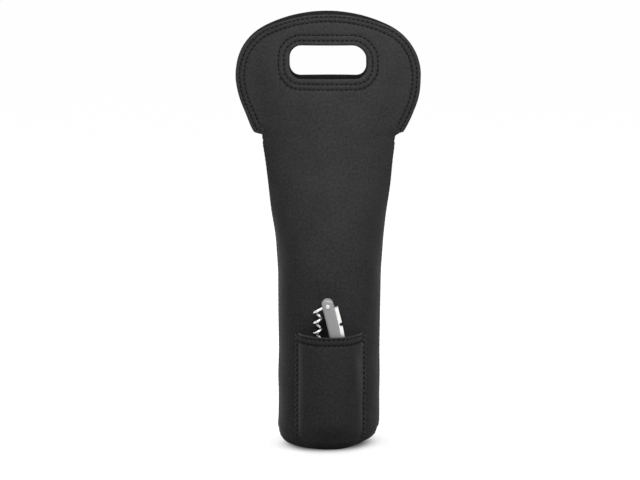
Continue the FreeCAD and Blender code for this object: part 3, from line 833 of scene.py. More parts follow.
def moulded_plastic(name, base, least_rough):
    """Moulded plastic with a fine spark-eroded grain, which spreads its highlights to a satin."""
    material, tree = new_material(name)
    if tree is None:
        return material
    grain, grain_height, rough_spread = 0.5 * MM, 0.05 * MM, 0.16
    place = add_node(tree, "ShaderNodeTexCoord").outputs["Object"]
    inputs = {"Vector": place, "Scale": 1 / grain, "Detail": 3.0}
    speck = add_node(tree, "ShaderNodeTexNoise", inputs).outputs[0]
    inputs = {"Height": speck, "Strength": 0.12, "Distance": grain_height}
    bump = add_node(tree, "ShaderNodeBump", inputs).outputs[0]
    inputs = {0: speck, 1: rough_spread, 2: least_rough}
    rough = add_node(tree, "ShaderNodeMath", inputs, operation="MULTIPLY_ADD").outputs[0]
    inputs = {"Base Color": base, "Roughness": rough, "Normal": bump, "IOR": 1.53}
    shader = add_node(tree, "ShaderNodeBsdfPrincipled", inputs)
    add_node(tree, "ShaderNodeOutputMaterial", {0: shader.outputs[0]})
    return material


def stainless_steel(name, base, least_rough):
    """Stamped stainless steel, tumbled to a near mirror or brushed: a faint haze and hairlines."""
    material, tree = new_material(name)
    if tree is None:
        return material
    haze, hairline, hairline_height, rough_spread = 4 * MM, 0.3 * MM, 0.03 * MM, 0.14
    drawn_out = (1.0, 1.0, 0.06)
    place = add_node(tree, "ShaderNodeTexCoord").outputs["Object"]
    inputs = {"Vector": place, "Scale": 1 / haze, "Detail": 3.0}
    cloud = add_node(tree, "ShaderNodeTexNoise", inputs).outputs[0]
    lines = add_node(tree, "ShaderNodeMapping", {"Vector": place, "Scale": drawn_out}).outputs[0]
    inputs = {"Vector": lines, "Scale": 1 / hairline, "Detail": 2.0}
    lines = add_node(tree, "ShaderNodeTexNoise", inputs).outputs[0]
    inputs = {0: cloud, 1: rough_spread, 2: least_rough}
    rough = add_node(tree, "ShaderNodeMath", inputs, operation="MULTIPLY_ADD").outputs[0]
    inputs = {"Height": lines, "Strength": 0.08, "Distance": hairline_height}
    bump = add_node(tree, "ShaderNodeBump", inputs).outputs[0]
    inputs = {"Base Color": base, "Metallic": 1.0, "Roughness": rough, "Normal": bump}
    shader = add_node(tree, "ShaderNodeBsdfPrincipled", inputs)
    add_node(tree, "ShaderNodeOutputMaterial", {0: shader.outputs[0]})
    return material


# Stitches


def new_sewing_tree(name, numbers):
    """An empty node tree that makes sewing of one material along a line."""
    tree = bpy.data.node_groups.new(name, "GeometryNodeTree")
    tree.is_modifier = True
    tree.interface.new_socket("Line", in_out="INPUT", socket_type="NodeSocketGeometry")
    for number in numbers:
        tree.interface.new_socket(number, in_out="INPUT", socket_type="NodeSocketFloat")
    tree.interface.new_socket("Material", in_out="INPUT", socket_type="NodeSocketMaterial")
    tree.interface.new_socket("Sewing", in_out="OUTPUT", socket_type="NodeSocketGeometry")
    return tree


def stitch_tree():
    """A node tree that lays short threads along a line."""
    tree = bpy.data.node_groups.get("stitch_row")
    if tree is not None:
        return tree
    tree = new_sewing_tree("stitch_row", ("Pitch", "Stitch", "Thread"))
    given = add_node(tree, "NodeGroupInput").outputs
    # A stitch dips into its holes at both ends and rises in its middle, by a little over a radius
    sizes = []
    for name, share in (("Stitch", -0.5), ("Stitch", 0.5), ("Thread", -1.2), ("Thread", 1.2)):
        inputs = {0: given[name], 1: share}
        sizes.append(add_node(tree, "ShaderNodeMath", inputs, operation="MULTIPLY").outputs[0])
    back, ahead, dip, rise = sizes
    inputs = {
        "Resolution": STITCH_SEGMENTS,
        "Start": add_node(tree, "ShaderNodeCombineXYZ", {0: back, 2: dip}).outputs[0],
        "Middle": add_node(tree, "ShaderNodeCombineXYZ", {2: rise}).outputs[0],
        "End": add_node(tree, "ShaderNodeCombineXYZ", {0: ahead, 2: dip}).outputs[0],
    }
    bow = add_node(tree, "GeometryNodeCurveQuadraticBezier", inputs).outputs[0]
    inputs = {"Resolution": THREAD_SIDES, "Radius": given["Thread"]}
    ring = add_node(tree, "GeometryNodeCurvePrimitiveCircle", inputs).outputs[0]
    inputs = {"Curve": bow, "Profile Curve": ring, "Fill Caps": True}
    thread = add_node(tree, "GeometryNodeCurveToMesh", inputs).outputs[0]
    line = add_node(tree, "GeometryNodeMeshToCurve", {"Mesh": given["Line"]}).outputs[0]
    inputs = {"Curve": line, "Length": given["Pitch"]}
    spaced = add_node(tree, "GeometryNodeResampleCurve", inputs, mode="LENGTH").outputs[0]
    inputs = {"Vector": add_node(tree, "GeometryNodeInputTangent").outputs[0]}
    turn = add_node(tree, "FunctionNodeAlignRotationToVector", inputs, axis="X").outputs[0]
    upward = add_node(
        tree, "GeometryNodeInputNamedAttribute", {"Name": UPWARD}, data_type="FLOAT_VECTOR"
    ).outputs[0]
    inputs = {"Rotation": turn, "Vector": upward}
    turn = add_node(
        tree, "FunctionNodeAlignRotationToVector", inputs, axis="Z", pivot_axis="X"
    ).outputs[0]
    # No two stitches lie quite alike: each is turned a little, and a little longer or shorter
    askew_limit, size_change, askew_seed, size_seed = 0.2, 0.125, 3, 4
    inputs = {2: -askew_limit, 3: askew_limit, 8: askew_seed}
    askew = add_node(tree, "FunctionNodeRandomValue", inputs, data_type="FLOAT").outputs[1]
    inputs = {2: 1 - size_change, 3: 1 + size_change, 8: size_seed}
    size = add_node(tree, "FunctionNodeRandomValue", inputs, data_type="FLOAT").outputs[1]
    askew = add_node(tree, "ShaderNodeCombineXYZ", {2: askew}).outputs[0]
    askew = add_node(tree, "FunctionNodeEulerToRotation", {0: askew}).outputs[0]
    inputs = {0: turn, 1: askew}
    turn = add_node(tree, "FunctionNodeRotateRotation", inputs, rotation_space="LOCAL").outputs[0]
    inputs = {"Points": spaced, "Instance": thread, "Rotation": turn, "Scale": size}
    laid = add_node(tree, "GeometryNodeInstanceOnPoints", inputs).outputs[0]
    plain = add_node(tree, "GeometryNodeRealizeInstances", {0: laid}).outputs[0]
    inputs = {"Geometry": plain, "Material": given["Material"]}
    done = add_node(tree, "GeometryNodeSetMaterial", inputs).outputs[0]
    add_node(tree, "NodeGroupOutput", {0: done})
    return tree


def thread_tree():
    """A node tree that draws one thread along a line."""
    tree = bpy.data.node_groups.get("thread_run")
    if tree is not None:
        return tree
    tree = new_sewing_tree("thread_run", ("Thread",))
    given = add_node(tree, "NodeGroupInput").outputs
    line = add_node(tree, "GeometryNodeMeshToCurve", {"Mesh": given["Line"]}).outputs[0]
    inputs = {"Resolution": THREAD_SIDES, "Radius": given["Thread"]}
    ring = add_node(tree, "GeometryNodeCurvePrimitiveCircle", inputs).outputs[0]
    inputs = {"Curve": line, "Profile Curve": ring, "Fill Caps": True}
    thread = add_node(tree, "GeometryNodeCurveToMesh", inputs).outputs[0]
    plain = add_node(tree, "GeometryNodeRealizeInstances", {0: thread}).outputs[0]
    inputs = {"Geometry": plain, "Material": given["Material"]}
    done = add_node(tree, "GeometryNodeSetMaterial", inputs).outputs[0]
    add_node(tree, "NodeGroupOutput", {0: done})
    return tree


def sewing(name, lines, tree, values):
    """Sewing that a node tree makes from lines, each being points and the outward way there."""
    vertices = np.concatenate([points for points, _ in lines])
    upward = np.concatenate([up for _, up in lines]).astype(np.float32).ravel()
    edges, first = [], 0
    for points, _ in lines:
        edges.extend((first + i, first + i + 1) for i in range(len(points) - 1))
        first += len(points)
    mesh = bpy.data.meshes.new(name + "_line")
    mesh.from_pydata(vertices.tolist(), edges, [])
    mesh.attributes.new(UPWARD, "FLOAT_VECTOR", "POINT").data.foreach_set("vector", upward)
    guide = bpy.data.objects.new(name + "_line", mesh)
    bpy.context.scene.collection.objects.link(guide)
    modifier = guide.modifiers.new("sewing", "NODES")
    modifier.node_group = tree
    for socket in tree.interface.items_tree:
        is_input = socket.item_type == "SOCKET" and socket.in_out == "INPUT"
        if is_input and socket.name in values:
            modifier[socket.identifier] = values[socket.name]
    shown = guide.evaluated_get(bpy.context.evaluated_depsgraph_get())
    made = bpy.data.meshes.new_from_object(shown)
    made.name = name
    bpy.data.objects.remove(guide)
    if len(made.polygons) == 0:
        raise RuntimeError(f"no stitches were made for {name}")
    piece = bpy.data.objects.new(name, made)
    bpy.context.scene.collection.objects.link(piece)
    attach(piece, "carrier")
    return piece


def stitches(name, lines, stitch, material):
    """Rows of single stitches along lines."""
    values = {"Pitch": stitch.pitch, "Stitch": stitch.dash, "Thread": stitch.thread}
    return sewing(name, lines, stitch_tree(), values | {"Material": material})


def zigzag(name, lines, stitch, material):
    """Threads that run along zigzag lines."""
    values = {"Thread": stitch.thread * stitch.cover_share, "Material": material}
    return sewing(name, lines, thread_tree(), values)


def strokes(first, second, pitch):
    """A zigzag between two lines, and the bow of its points: 0 at the holes and 1 midway."""
    count = int(round(run_along(first)[-1] / pitch))
    turns = np.empty((count + 1, first.shape[1]))
    for start, line in enumerate((first, second)):
        runs = run_along(line)
        places = np.linspace(0, runs[-1], count + 1)[start::2]
        turns[start::2] = points_at(places, runs, line)
    share = np.arange(count * STROKE_SEGMENTS + 1) / STROKE_SEGMENTS
    return points_at(share, np.arange(count + 1), turns), np.sin(math.pi * (share % 1))


def on_face(face, line, lift, flip=False):
    """A line of the flat cut laid on a face, with the outward direction at each point."""
    normal = face_normal(face, line[:, 0], line[:, 1])
    points = face(line[:, 0], line[:, 1]) + normal * (lift * np.ones(len(line)))[:, None]
    if flip:
        points, normal = points * np.array([1, -1, 1]), normal * np.array([1, -1, 1])
    return settled(points), normal


# Pocket


def turned(points, hinge, degrees):
    """Points turned about a hinge that runs from front to back."""
    angle = math.radians(degrees) * hinge["axis"][1]
    pivot_x, _, pivot_z = hinge["pos_m"]
    x, z = points[:, 0] - pivot_x, points[:, 2] - pivot_z
    new_x = pivot_x + x * math.cos(angle) + z * math.sin(angle)
    new_z = pivot_z - x * math.sin(angle) + z * math.cos(angle)
    return np.stack([new_x, points[:, 1], new_z], 1)


def tool_points(sizes, pocket):
    """Points on the corkscrew in the pocket, its worm and lever at rest and at both ends."""
    grid, samples, sheets_above = 0.5 * MM, 9, 3
    share = np.linspace(0, 1, samples)[:, None, None]
    hinges = {joint["child"]: joint for joint in frame["joints"] if joint["type"] == "hinge"}
    found = []
    for part in ("front_scale", "back_scale", "lever", "worm"):
        mesh = frame["nodes"]["corkscrew_" + part].data
        vertices = np.array([v.co for v in mesh.vertices])
        ends = np.array([e.vertices for e in mesh.edges])
        line = vertices[ends[:, 0]] * (1 - share) + vertices[ends[:, 1]] * share
        points = np.unique(np.round(line.reshape(-1, 3) / grid), axis=0) * grid
        hinge = hinges.get(part)
        if hinge is None:
            found.append(points)
        else:
            found.extend(turned(points, hinge, turn) for turn in sorted({0, *hinge["range_deg"]}))
    points = np.concatenate(found)
    return points[points[:, 2] < pocket.mouth + sheets_above * sizes.sheet]


def ball_points(radius):
    """Points spread evenly over the front of a ball."""
    count, back = 80, 0.2
    index = np.arange(count) + 0.5
    tilt, spin = np.arccos(1 - 2 * index / count), math.pi * (1 + 5**0.5) * index
    x, y, z = np.sin(tilt) * np.cos(spin), np.sin(tilt) * np.sin(spin), np.cos(tilt)
    return np.stack([x, y, z], 1)[y < back] * radius


def taut(places, values):
    """The lowest line over values that nowhere curves upward, as a band pulled over them lies."""
    kept = []
    for point in zip(places, values):
        while len(kept) > 1:
            (ax, ay), (bx, by) = kept[-2:]
            if (bx - ax) * (point[1] - ay) < (by - ay) * (point[0] - ax):
                break
            kept.pop()
        kept.append(point)
    corners = np.array(kept)
    return np.interp(places, corners[:, 0], corners[:, 1])


def spread(values, axis, steps):
    """Values on a grid evened out along one axis, with its two ends left as they are."""
    for _ in range(steps):
        even_out = values / 2 + (np.roll(values, 1, axis) + np.roll(values, -1, axis)) / 4
        first, last = ((slice(None),) * axis + (end,) for end in (0, -1))
        even_out[first], even_out[last] = values[first], values[last]
        values = even_out
    return values


def taut_sheet(sizes, pocket, across, levels):
    """The pocket's outer face on a grid: sewn down at sides and foot, full over the corkscrew."""
    off_grid, pulls, across_steps, up_steps = -9, 2, 8, 30
    roll = np.clip((sizes.base_round - levels) / sizes.base_round, 0, math.pi / 2)
    grown = sizes.base_round + sizes.sewn_gap + sizes.sheet
    reach = sizes.body_radius - sizes.base_round + grown * np.cos(roll)
    heights = np.where(roll > 0, sizes.base_round - grown * np.sin(roll), levels)
    flush = np.sqrt(reach[:, None] ** 2 - across[None] ** 2)
    # The sheet lies over balls of its own thickness round every point of the corkscrew
    ball = ball_points(sizes.sheet + pocket.clearance)
    points = (tool_points(sizes, pocket)[:, None, :] + ball[None]).reshape(-1, 3)
    i = np.rint((points[:, 0] - across[0]) / (across[1] - across[0])).astype(int)
    j = np.interp(points[:, 2], heights, np.arange(len(levels)), off_grid, off_grid)
    j = np.rint(j).astype(int)
    keep = (i >= 0) & (i < len(across)) & (j >= 0)
    depth = flush.copy()
    np.maximum.at(depth, (j[keep], i[keep]), -points[keep, 1])
    # It is pulled taut across and up, then filled out to a round section
    free = slice(*np.searchsorted(across, (across[0] + pocket.strip, across[-1] - pocket.strip)))
    for _ in range(pulls):
        for row in range(len(levels)):
            depth[row, free] = taut(across[free], depth[row, free])
        for column in range(free.start, free.stop):
            swell = taut(heights, depth[:, column] - flush[:, column])
            depth[:, column] = flush[:, column] + swell
    share = np.linspace(-1, 1, free.stop - free.start)
    full = (1 - np.abs(share) ** pocket.fullness) ** (1 / pocket.fullness)
    swell = np.max(depth - flush, 1, keepdims=True) * full
    depth[:, free] = np.maximum(depth[:, free], flush[:, free] + swell)
    for strip in (slice(None, free.start), slice(free.stop, None)):
        depth[:, strip] = flush[:, strip]
    depth = np.maximum(spread(spread(depth, 1, across_steps), 0, up_steps), flush)
    grid = np.ones_like(depth)
    return np.stack([grid * across, -depth, grid * heights[:, None]], -1)


def pocket_face(sizes, pocket):
    """The pocket's outer face as a function, half its cut's width, and where the cut begins."""
    columns, rows, section_points = 81, 110, 241
    above, below = 3 * MM, 1 * MM
    low = sizes.base_round - pocket.foot
    levels = np.linspace(low - below, pocket.mouth + above, rows)
    across = np.linspace(pocket.left, pocket.right, columns)
    sections = []
    for line in taut_sheet(sizes, pocket, across, levels):
        runs = run_along(line)
        sections.append(points_at(np.linspace(0, runs[-1], section_points), runs, line))
    table = np.array(sections)
    half = np.max(np.sum(np.linalg.norm(np.diff(table, axis=1), axis=2), 1)) / 2

    def face(s, q):
        across = np.clip((s / half + 1) / 2, 0, 1) * (section_points - 1)
        up = np.clip((q - levels[0]) / (levels[-1] - levels[0]), 0, 1) * (rows - 1)
        i = np.clip(across.astype(int), 0, section_points - 2)
        j = np.clip(up.astype(int), 0, rows - 2)
        a, b = (across - i)[..., None], (up - j)[..., None]
        lower = table[j, i] * (1 - a) + table[j, i + 1] * a
        upper = table[j + 1, i] * (1 - a) + table[j + 1, i + 1] * a
        return lower * (1 - b) + upper * b

    return face, half, low


def pocket_hem(pocket, half, inset):
    """The pocket's mouth line on its flat cut, lower by an inset."""
    s = np.linspace(-half, half, HEM_POINTS)
    return np.stack([s, np.full(HEM_POINTS, pocket.mouth - inset)], 1)


def pocket_outline(pocket, half, low):
    """The pocket's flat cut, run anticlockwise."""
    hem = pocket_hem(pocket, half, 0)
    bottom = np.array([[-half, low], [half, low]])
    right = rounded_corner(bottom[1], hem[-1], hem[-HEM_CORNER_POINTS], pocket.corner)
    top = hem[HEM_CORNER_POINTS:-HEM_CORNER_POINTS][::-1]
    outline = np.concatenate([bottom, right, top, mirrored(right)])
    return even(outline, POCKET_SPACING, closed=True)


def zigzag_dips(pocket, stitch, q):
    """How far the side zigzag pulls the pocket in at a height: 1 at its holes, puffed between."""
    level, swing = 0.25, 0.75
    run = pocket.mouth - stitch.hem_row - pocket.zigzag_low
    period = 2 * run / round(run / stitch.zigzag_pitch)
    return level + swing * np.cos(2 * math.pi * (q - pocket.zigzag_low) / period)


# Sewing


def sunk(stitch):
    """How far a row's threads lie from the sheet's face: half way down the groove."""
    return -stitch.groove * 0.5


def sew_lobes(sizes, stitch, thread, cover):
    """Two rows along each lobe's edge with threads across them, and two rows round each slot."""
    face = partial(panel_point, sizes)
    free = panel_lines(sizes)[2]
    edge = even(np.concatenate([free[:-1], mirrored(free)]), PANEL_SPACING)
    way = inward(edge)
    way[0], way[-1] = way[1], way[-2]
    nearer = row_shift(sizes, stitch, edge[:, 1])
    insets = (stitch.edge_row - nearer, stitch.edge_inner_row - nearer)
    rows = [(edge + way * inset[:, None])[ROW_SEWN] for inset in insets]
    cross, bow = strokes(*rows, stitch.zigzag_pitch)
    margins = (stitch.slot_row, stitch.slot_outer_row)
    loops = [closed_line(slot_loop(sizes, margin)[::2]) for margin in margins]
    for seed, (side, flip) in enumerate((("front", False), ("back", True))):

        def sewn(line, lift, seed=seed, flip=flip):
            return on_face(face, line, panel_sway(line, seed) + lift, flip)

        stitches(side + "_edge_rows", [sewn(row, sunk(stitch)) for row in rows], stitch, thread)
        crossing = [sewn(cross, (bow - 1) * stitch.groove)]
        zigzag(side + "_edge_cross_threads", crossing, stitch, cover)
        stitches(side + "_slot_rows", [sewn(loop, sunk(stitch)) for loop in loops], stitch, thread)


def sew_pocket(sizes, pocket, stitch, thread, cover, side_thread_painted_highlight):
    """Two rows along the hem with threads that cross between them, and a zigzag down each side."""
    hole_points = 60
    pouch, half, _ = pocket_face(sizes, pocket)

    def sewn(line, lift):
        return on_face(pouch, line, pocket_sway(line) + lift)

    insets = (stitch.hem_row, stitch.hem_lower_row)
    rows = [pocket_hem(pocket, half, inset)[ROW_SEWN] for inset in insets]
    stitches("pocket_hem_rows", [sewn(row, sunk(stitch)) for row in rows], stitch, thread)
    cross, bow = strokes(*rows, stitch.zigzag_pitch)
    crossing = [sewn(cross, (bow - 1) * stitch.groove)]
    zigzag("pocket_hem_cross_threads", crossing, stitch, cover)
    q = np.linspace(pocket.zigzag_low, pocket.mouth - stitch.hem_row, hole_points)
    thin = pocket.side_thinning * (1 - smooth(0, pocket.sewn_width, pocket.zigzag))
    lines = []
    for way, side in ((-1, pocket.left), (1, pocket.right)):
        holes = np.stack([np.full(len(q), way * (half - pocket.zigzag)), q], 1)
        holes, _ = sewn(holes, sunk(stitch) - thin)
        angle = math.asin((side + way * pocket.zigzag_outside) / sizes.body_radius)
        wall = np.stack([np.full(len(q), sizes.body_radius * angle), q], 1)
        wall, _ = on_face(partial(panel_point, sizes), wall, sunk(stitch))
        line, bow = strokes(holes, wall, stitch.zigzag_pitch)
        outward = line * np.array([1, 1, 0])
        outward = outward / np.linalg.norm(outward, axis=1, keepdims=True)
        lines.append((line + outward * (bow * POCKET_SIDE_BOW)[:, None], outward))
    zigzag("pocket_side_threads", lines, stitch, side_thread_painted_highlight)


def sew_seams(sizes, stitch, thread):
    """A zigzag that joins the two panels along each side."""
    seam = even(panel_lines(sizes)[1], PANEL_SPACING) - np.array([SEAM_INSET, 0])
    lines = []
    for way in (-1, 1):
        points = panel_point(sizes, way * seam[:, 0], seam[:, 1])[SEAM_SEWN]
        line, bow = strokes(points, points * np.array([1, -1, 1]), stitch.zigzag_pitch)
        outward = np.tile((way, 0, 0), (len(line), 1))
        lines.append((settled(line + outward * (bow * SEAM_BOW - SEAM_SINK)[:, None]), outward))
    zigzag("side_seam_threads", lines, stitch, thread)


# Stage


def seen_rays(tree):
    """A number that is 1 for rays from the camera, from mirrors and through glass."""
    path = add_node(tree, "ShaderNodeLightPath").outputs
    seen = path["Is Camera Ray"]
    for kind in ("Is Glossy Ray", "Is Transmission Ray"):
        inputs = {0: seen, 1: path[kind]}
        seen = add_node(tree, "ShaderNodeMath", inputs, operation="MAXIMUM").outputs[0]
    return seen


def white_paper(name, seen_colour, bounce_colour):
    """White paper that glows white, with a soft shadow painted round the carrier's foot over its
    real shadow.
    """
    material, tree = new_material(name)
    if tree is None:
        return material
    inputs = {
        "Vector": add_node(tree, "ShaderNodeTexCoord").outputs["Object"],
        "Location": SHADOW_PLACE,
        "Rotation": SHADOW_TURN,
        "Scale": SHADOW_SQUASH,
    }
    oval = add_node(tree, "ShaderNodeMapping", inputs, vector_type="TEXTURE").outputs[0]
    away = add_node(tree, "ShaderNodeVectorMath", {0: oval}, operation="LENGTH").outputs["Value"]
    # Painted shadow: the glow is nothing close to the foot and grows in steps away from it
    total = 0.0
    for near, far, share in SHADOW_STEPS:
        inputs = {"Value": away, "From Min": near, "From Max": far, "To Min": 0.0, "To Max": share}
        step = add_node(tree, "ShaderNodeMapRange", inputs, interpolation_type="SMOOTHSTEP")
        inputs = {0: step.outputs[0], 1: total}
        total = add_node(tree, "ShaderNodeMath", inputs, operation="ADD").outputs[0]
    glow = add_node(tree, "ShaderNodeEmission", {"Color": (1, 1, 1, 1), "Strength": total})
    lit = add_node(tree, "ShaderNodeBsdfDiffuse", {"Color": seen_colour})
    both = add_node(tree, "ShaderNodeAddShader", {0: glow.outputs[0], 1: lit.outputs[0]})
    plain = add_node(tree, "ShaderNodeBsdfDiffuse", {"Color": bounce_colour})
    inputs = {0: seen_rays(tree), 1: plain.outputs[0], 2: both.outputs[0]}
    mixed = add_node(tree, "ShaderNodeMixShader", inputs)
    add_node(tree, "ShaderNodeOutputMaterial", {0: mixed.outputs[0]})
    return material


def add_floor(scene):
    """A wide paper floor."""
    colours = scene.carrier_colours
    mesh = bpy.data.meshes.new("floor")
    ways = ((-1, -1), (1, -1), (1, 1), (-1, 1))
    corners = [(x * FLOOR_REACH, y * FLOOR_REACH, FLOOR_LEVEL) for x, y in ways]
    mesh.from_pydata(corners, [], [(0, 1, 2, 3)])
    mesh.materials.append(white_paper("white_paper", colours.floor, colours.floor_bounce))
    floor = bpy.data.objects.new("floor", mesh)
    scene.collection.objects.link(floor)


def add_world(scene):
    """An even pale surround, white where the camera sees it."""
    world = bpy.data.worlds.new("studio")
    world.use_nodes = True
    tree = world.node_tree
    tree.nodes.clear()
    inputs = {"Color": (1, 1, 1, 1), "Strength": SURROUND_STRENGTH}
    dim = add_node(tree, "ShaderNodeBackground", inputs)
    white = add_node(tree, "ShaderNodeBackground", {"Color": (1, 1, 1, 1), "Strength": 1.0})
    inputs = {0: seen_rays(tree), 1: dim.outputs[0], 2: white.outputs[0]}
    mixed = add_node(tree, "ShaderNodeMixShader", inputs)
    add_node(tree, "ShaderNodeOutputWorld", {0: mixed.outputs[0]})
    scene.world = world


def add_lamps(scene):
    """Soft boxes that face the carrier."""
    for name, (place, size, power) in LAMPS.items():
        lamp = bpy.data.lights.new(name, "AREA")
        lamp.shape = "RECTANGLE"
        lamp.size, lamp.size_y = size
        lamp.energy = power
        holder = bpy.data.objects.new(name, lamp)
        holder.location = place
        aim = LAMP_TARGET - Vector(place)
        holder.rotation_euler = aim.to_track_quat("-Z", "Y").to_euler()
        scene.collection.objects.link(holder)


def add_camera(scene):
    """A camera in front of the carrier that looks a little down on it."""
    lens = bpy.data.cameras.new("camera")
    lens.lens = LENS
    lens.sensor_width = SENSOR
    camera = bpy.data.objects.new("camera", lens)
    camera.location = CAMERA_PLACE
    camera.rotation_euler = (CAMERA_TILT, 0, 0)
    scene.collection.objects.link(camera)
    scene.camera = camera


# Operators


class CARRIER_OT_panels(bpy.types.Operator):
    """Cut and form the front and back panels"""

    bl_idname = "carrier.panels"
    bl_label = "Panels"

    def execute(self, context):
        sizes, stitch = context.scene.carrier_sizes, context.scene.carrier_stitches
        finishes = sheet_finishes(context.scene.carrier_colours)
        base, seam, free = panel_lines(sizes)
        lines = (base, seam, free, mirrored(free), mirrored(seam))
        outline = np.concatenate([line[:-1] for line in lines])
        outline = even(outline, PANEL_SPACING, closed=True)
        slot = slot_loop(sizes, 0)[::2]
        edge = np.concatenate([free[:-1], mirrored(free)])

        def relief(flat, seed):
            gap = nearest(flat, edge)[0] + row_shift(sizes, stitch, flat[:, 1])
            pull = sewn_rows(gap, (stitch.edge_row, stitch.edge_inner_row), stitch)
            gap = edge_gap(flat, [slot])
            pull = pull + sewn_rows(gap, (stitch.slot_row, stitch.slot_outer_row), stitch)
            proud = -stitch.groove * pull
            for side in (seam, mirrored(seam)):
                gap, place = nearest(flat, side)
                pucker = 0.5 + 0.5 * np.cos(2 * math.pi * place / stitch.pitch)
                proud = proud - PUCKER * np.exp(-((gap / PUCKER_REACH) ** 2)) * pucker
            sway = panel_sway(flat, seed)
            # The pull also marks where the jersey is darkened with painted groove shade
            return proud + sway, -sway, pull

        for seed, (node, flip) in enumerate((("front_panel", False), ("back_panel", True))):
            piece = sheet_object(
                node + "_sheet",
                [outline, slot],
                partial(panel_point, sizes),
                partial(relief, seed=seed),
                finishes,
                sizes.sheet,
                sizes.cell,
                WIDE_FINE_REACH,
                flip=flip,
            )
            declare_sheet(piece, node)
        return {"FINISHED"}


class CARRIER_OT_facings(bpy.types.Operator):
    """Cut the rings behind the hand slots"""

    bl_idname = "carrier.facings"
    bl_label = "Slot facings"

    def execute(self, context):
        sizes = context.scene.carrier_sizes
        finishes = sheet_finishes(context.scene.carrier_colours)[1:]
        outer = slot_loop(sizes, sizes.facing_width)[::-2]
        slot = slot_loop(sizes, 0)[::2]

        def relief(flat, seed):
            sway = panel_sway(flat, seed)
            return sway, -sway, np.zeros(len(flat))

        nodes = (("front_slot_facing", False), ("back_slot_facing", True))
        for seed, (node, flip) in enumerate(nodes):
            piece = sheet_object(
                node + "_ring",
                [outer, slot],
                partial(panel_point, sizes),
                partial(relief, seed=seed),
                finishes,
                sizes.sheet,
                sizes.cell,
                NARROW_FINE_REACH,
                sizes.sheet + sizes.sewn_gap,
                flip,
            )
            declare_sheet(piece, node)
        return {"FINISHED"}


class CARRIER_OT_base(bpy.types.Operator):
    """Cut the round base"""

    bl_idname = "carrier.base"
    bl_label = "Base"

    def execute(self, context):
        sizes = context.scene.carrier_sizes
        finishes = sheet_finishes(context.scene.carrier_colours)
        round_points = 180
        loop = arc_points((0, 0), sizes.base_radius, 0, 2 * math.pi, round_points)[:-1]
        loop = even(loop, BASE_SPACING, closed=True)

        def face(s, q):
            return np.stack([-s, q, np.zeros_like(s)], -1)

        def relief(flat):
            height, wave, seed = BASE_WAVE
            sway = height * (ripple(flat, wave, seed) - 1)
            return sway, -sway, np.zeros(len(flat))

        piece = sheet_object(
            "base_sheet",
            [loop],
            face,
            relief,
            finishes,
            sizes.sheet,
            sizes.cell,
            NARROW_FINE_REACH,
        )
        declare_sheet(piece, "base_panel")
        return {"FINISHED"}


class CARRIER_OT_pocket(bpy.types.Operator):
    """Form the patch pocket over the corkscrew"""

    bl_idname = "carrier.pocket"
    bl_label = "Pocket"

    def execute(self, context):
        sizes, pocket = context.scene.carrier_sizes, context.scene.carrier_pocket
        stitch = context.scene.carrier_stitches
        finishes = sheet_finishes(context.scene.carrier_colours)
        face, half, low = pocket_face(sizes, pocket)
        loop = pocket_outline(pocket, half, low)

        def relief(flat):
            side, drop = half - np.abs(flat[:, 0]), pocket.mouth - flat[:, 1]
            hem = sewn_rows(drop, (stitch.hem_row, stitch.hem_lower_row), stitch)
            dimples = sewn_rows(side, (pocket.zigzag,), stitch)
            dimples = dimples * zigzag_dips(pocket, stitch, flat[:, 1])
            pull = hem + dimples * (1 - np.minimum(hem, 1))
            foot = 1 - smooth(low, low + 2 * pocket.foot, flat[:, 1])
            edge = 1 - smooth(0, pocket.sewn_width, side)
            thin = np.maximum(pocket.foot_thinning * foot, pocket.side_thinning * edge)
            sway = pocket_sway(flat)
            # The hem and half the dimples mark where the jersey is darkened with painted groove
            # shade
            return -stitch.groove * pull + sway - thin, -sway, np.maximum(hem, dimples / 2)

        piece = sheet_object(
            "pocket_sheet",
            [loop],
            face,
            relief,
            finishes,
            sizes.sheet,
            sizes.cell * POCKET_CELL_SHARE,
            WIDE_FINE_REACH,
        )
        declare_sheet(piece, "pocket_panel")
        return {"FINISHED"}


class CARRIER_OT_stitching(bpy.types.Operator):
    """Sew the edges, the slots, the pocket and the seams"""

    bl_idname = "carrier.stitching"
    bl_label = "Stitching"

    def execute(self, context):
        sizes, pocket = context.scene.carrier_sizes, context.scene.carrier_pocket
        stitch, colours = context.scene.carrier_stitches, context.scene.carrier_colours
        thread = polyester_thread("polyester_thread", colours.thread)
        cover = polyester_thread("polyester_cover_thread", colours.cover_thread)
        # The pocket's side thread is paler than the others: a painted highlight
        side_thread_painted_highlight = polyester_thread("polyester_pocket_thread_painted_highlight", colours.pocket_thread_painted_highlight)
        sew_lobes(sizes, stitch, thread, cover)
        sew_pocket(sizes, pocket, stitch, thread, cover, side_thread_painted_highlight)
        sew_seams(sizes, stitch, thread)
        return {"FINISHED"}


class CARRIER_OT_corkscrew(bpy.types.Operator):
    """Finish the corkscrew's own pieces"""

    bl_idname = "carrier.corkscrew"
    bl_label = "Corkscrew"

    def execute(self, context):
        colours = context.scene.carrier_colours
        grey = moulded_plastic("satin_grey_abs", colours.handle, least_rough=0.34)
        black = moulded_plastic("black_nylon", colours.spacer, least_rough=0.45)
        steel = stainless_steel("polished_steel", colours.steel, least_rough=0.1)
        brushed = stainless_steel("brushed_steel", colours.lever, least_rough=0.36)
        finishes = {
            "corkscrew_front_scale": grey,
            "corkscrew_back_scale": grey,
            "corkscrew_spacer": black,
            "corkscrew_upper_pin": steel,
            "corkscrew_lower_pin": steel,
            "corkscrew_pivot_rivet": steel,
            "corkscrew_lever": brushed,
            "corkscrew_worm": steel,
        }
        for node, finish in finishes.items():
            mesh = frame["nodes"][node].data
            mesh.materials.clear()
            mesh.materials.append(finish)
        return {"FINISHED"}


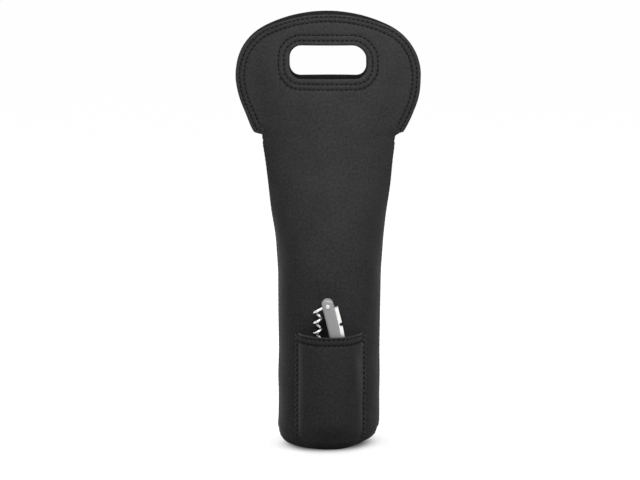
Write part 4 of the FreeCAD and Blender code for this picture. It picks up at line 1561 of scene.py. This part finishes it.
class CARRIER_OT_stage(bpy.types.Operator):
    """Set the floor, the lights and the camera"""

    bl_idname = "carrier.stage"
    bl_label = "Stage"

    def execute(self, context):
        scene = context.scene
        scene.view_settings.view_transform = "Standard"
        add_floor(scene)
        add_world(scene)
        add_lamps(scene)
        add_camera(scene)
        return {"FINISHED"}


OPERATORS = (
    CARRIER_OT_panels,
    CARRIER_OT_facings,
    CARRIER_OT_base,
    CARRIER_OT_pocket,
    CARRIER_OT_stitching,
    CARRIER_OT_corkscrew,
    CARRIER_OT_stage,
)
GROUPS = {
    "carrier_sizes": CarrierSizes,
    "carrier_pocket": PocketSizes,
    "carrier_stitches": StitchSizes,
    "carrier_colours": CarrierColours,
}


class CARRIER_PT_sidebar(bpy.types.Panel):
    """Lists the carrier's pieces, sizes and colours"""

    bl_idname = "CARRIER_PT_sidebar"
    bl_label = "Bottle carrier"
    bl_space_type = "VIEW_3D"
    bl_region_type = "UI"
    bl_category = "Carrier"

    def draw(self, context):
        for operator in OPERATORS:
            self.layout.operator(operator.bl_idname)
        for name, group in GROUPS.items():
            box = self.layout.box()
            for key in group.__annotations__:
                box.prop(getattr(context.scene, name), key)


def register():
    """Register the classes and hang the settings on the scene."""
    for name, group in GROUPS.items():
        bpy.utils.register_class(group)
        setattr(bpy.types.Scene, name, PointerProperty(type=group))
    for operator in OPERATORS:
        bpy.utils.register_class(operator)
    bpy.utils.register_class(CARRIER_PT_sidebar)


def unregister():
    """Take the classes and settings away again."""
    bpy.utils.unregister_class(CARRIER_PT_sidebar)
    for operator in reversed(OPERATORS):
        bpy.utils.unregister_class(operator)
    for name, group in GROUPS.items():
        delattr(bpy.types.Scene, name)
        bpy.utils.unregister_class(group)


def main():
    """Build every piece in order."""
    register()
    bpy.ops.carrier.panels()
    bpy.ops.carrier.facings()
    bpy.ops.carrier.base()
    bpy.ops.carrier.pocket()
    bpy.ops.carrier.stitching()
    bpy.ops.carrier.corkscrew()
    bpy.ops.carrier.stage()


if __name__ == "__main__":
    main()
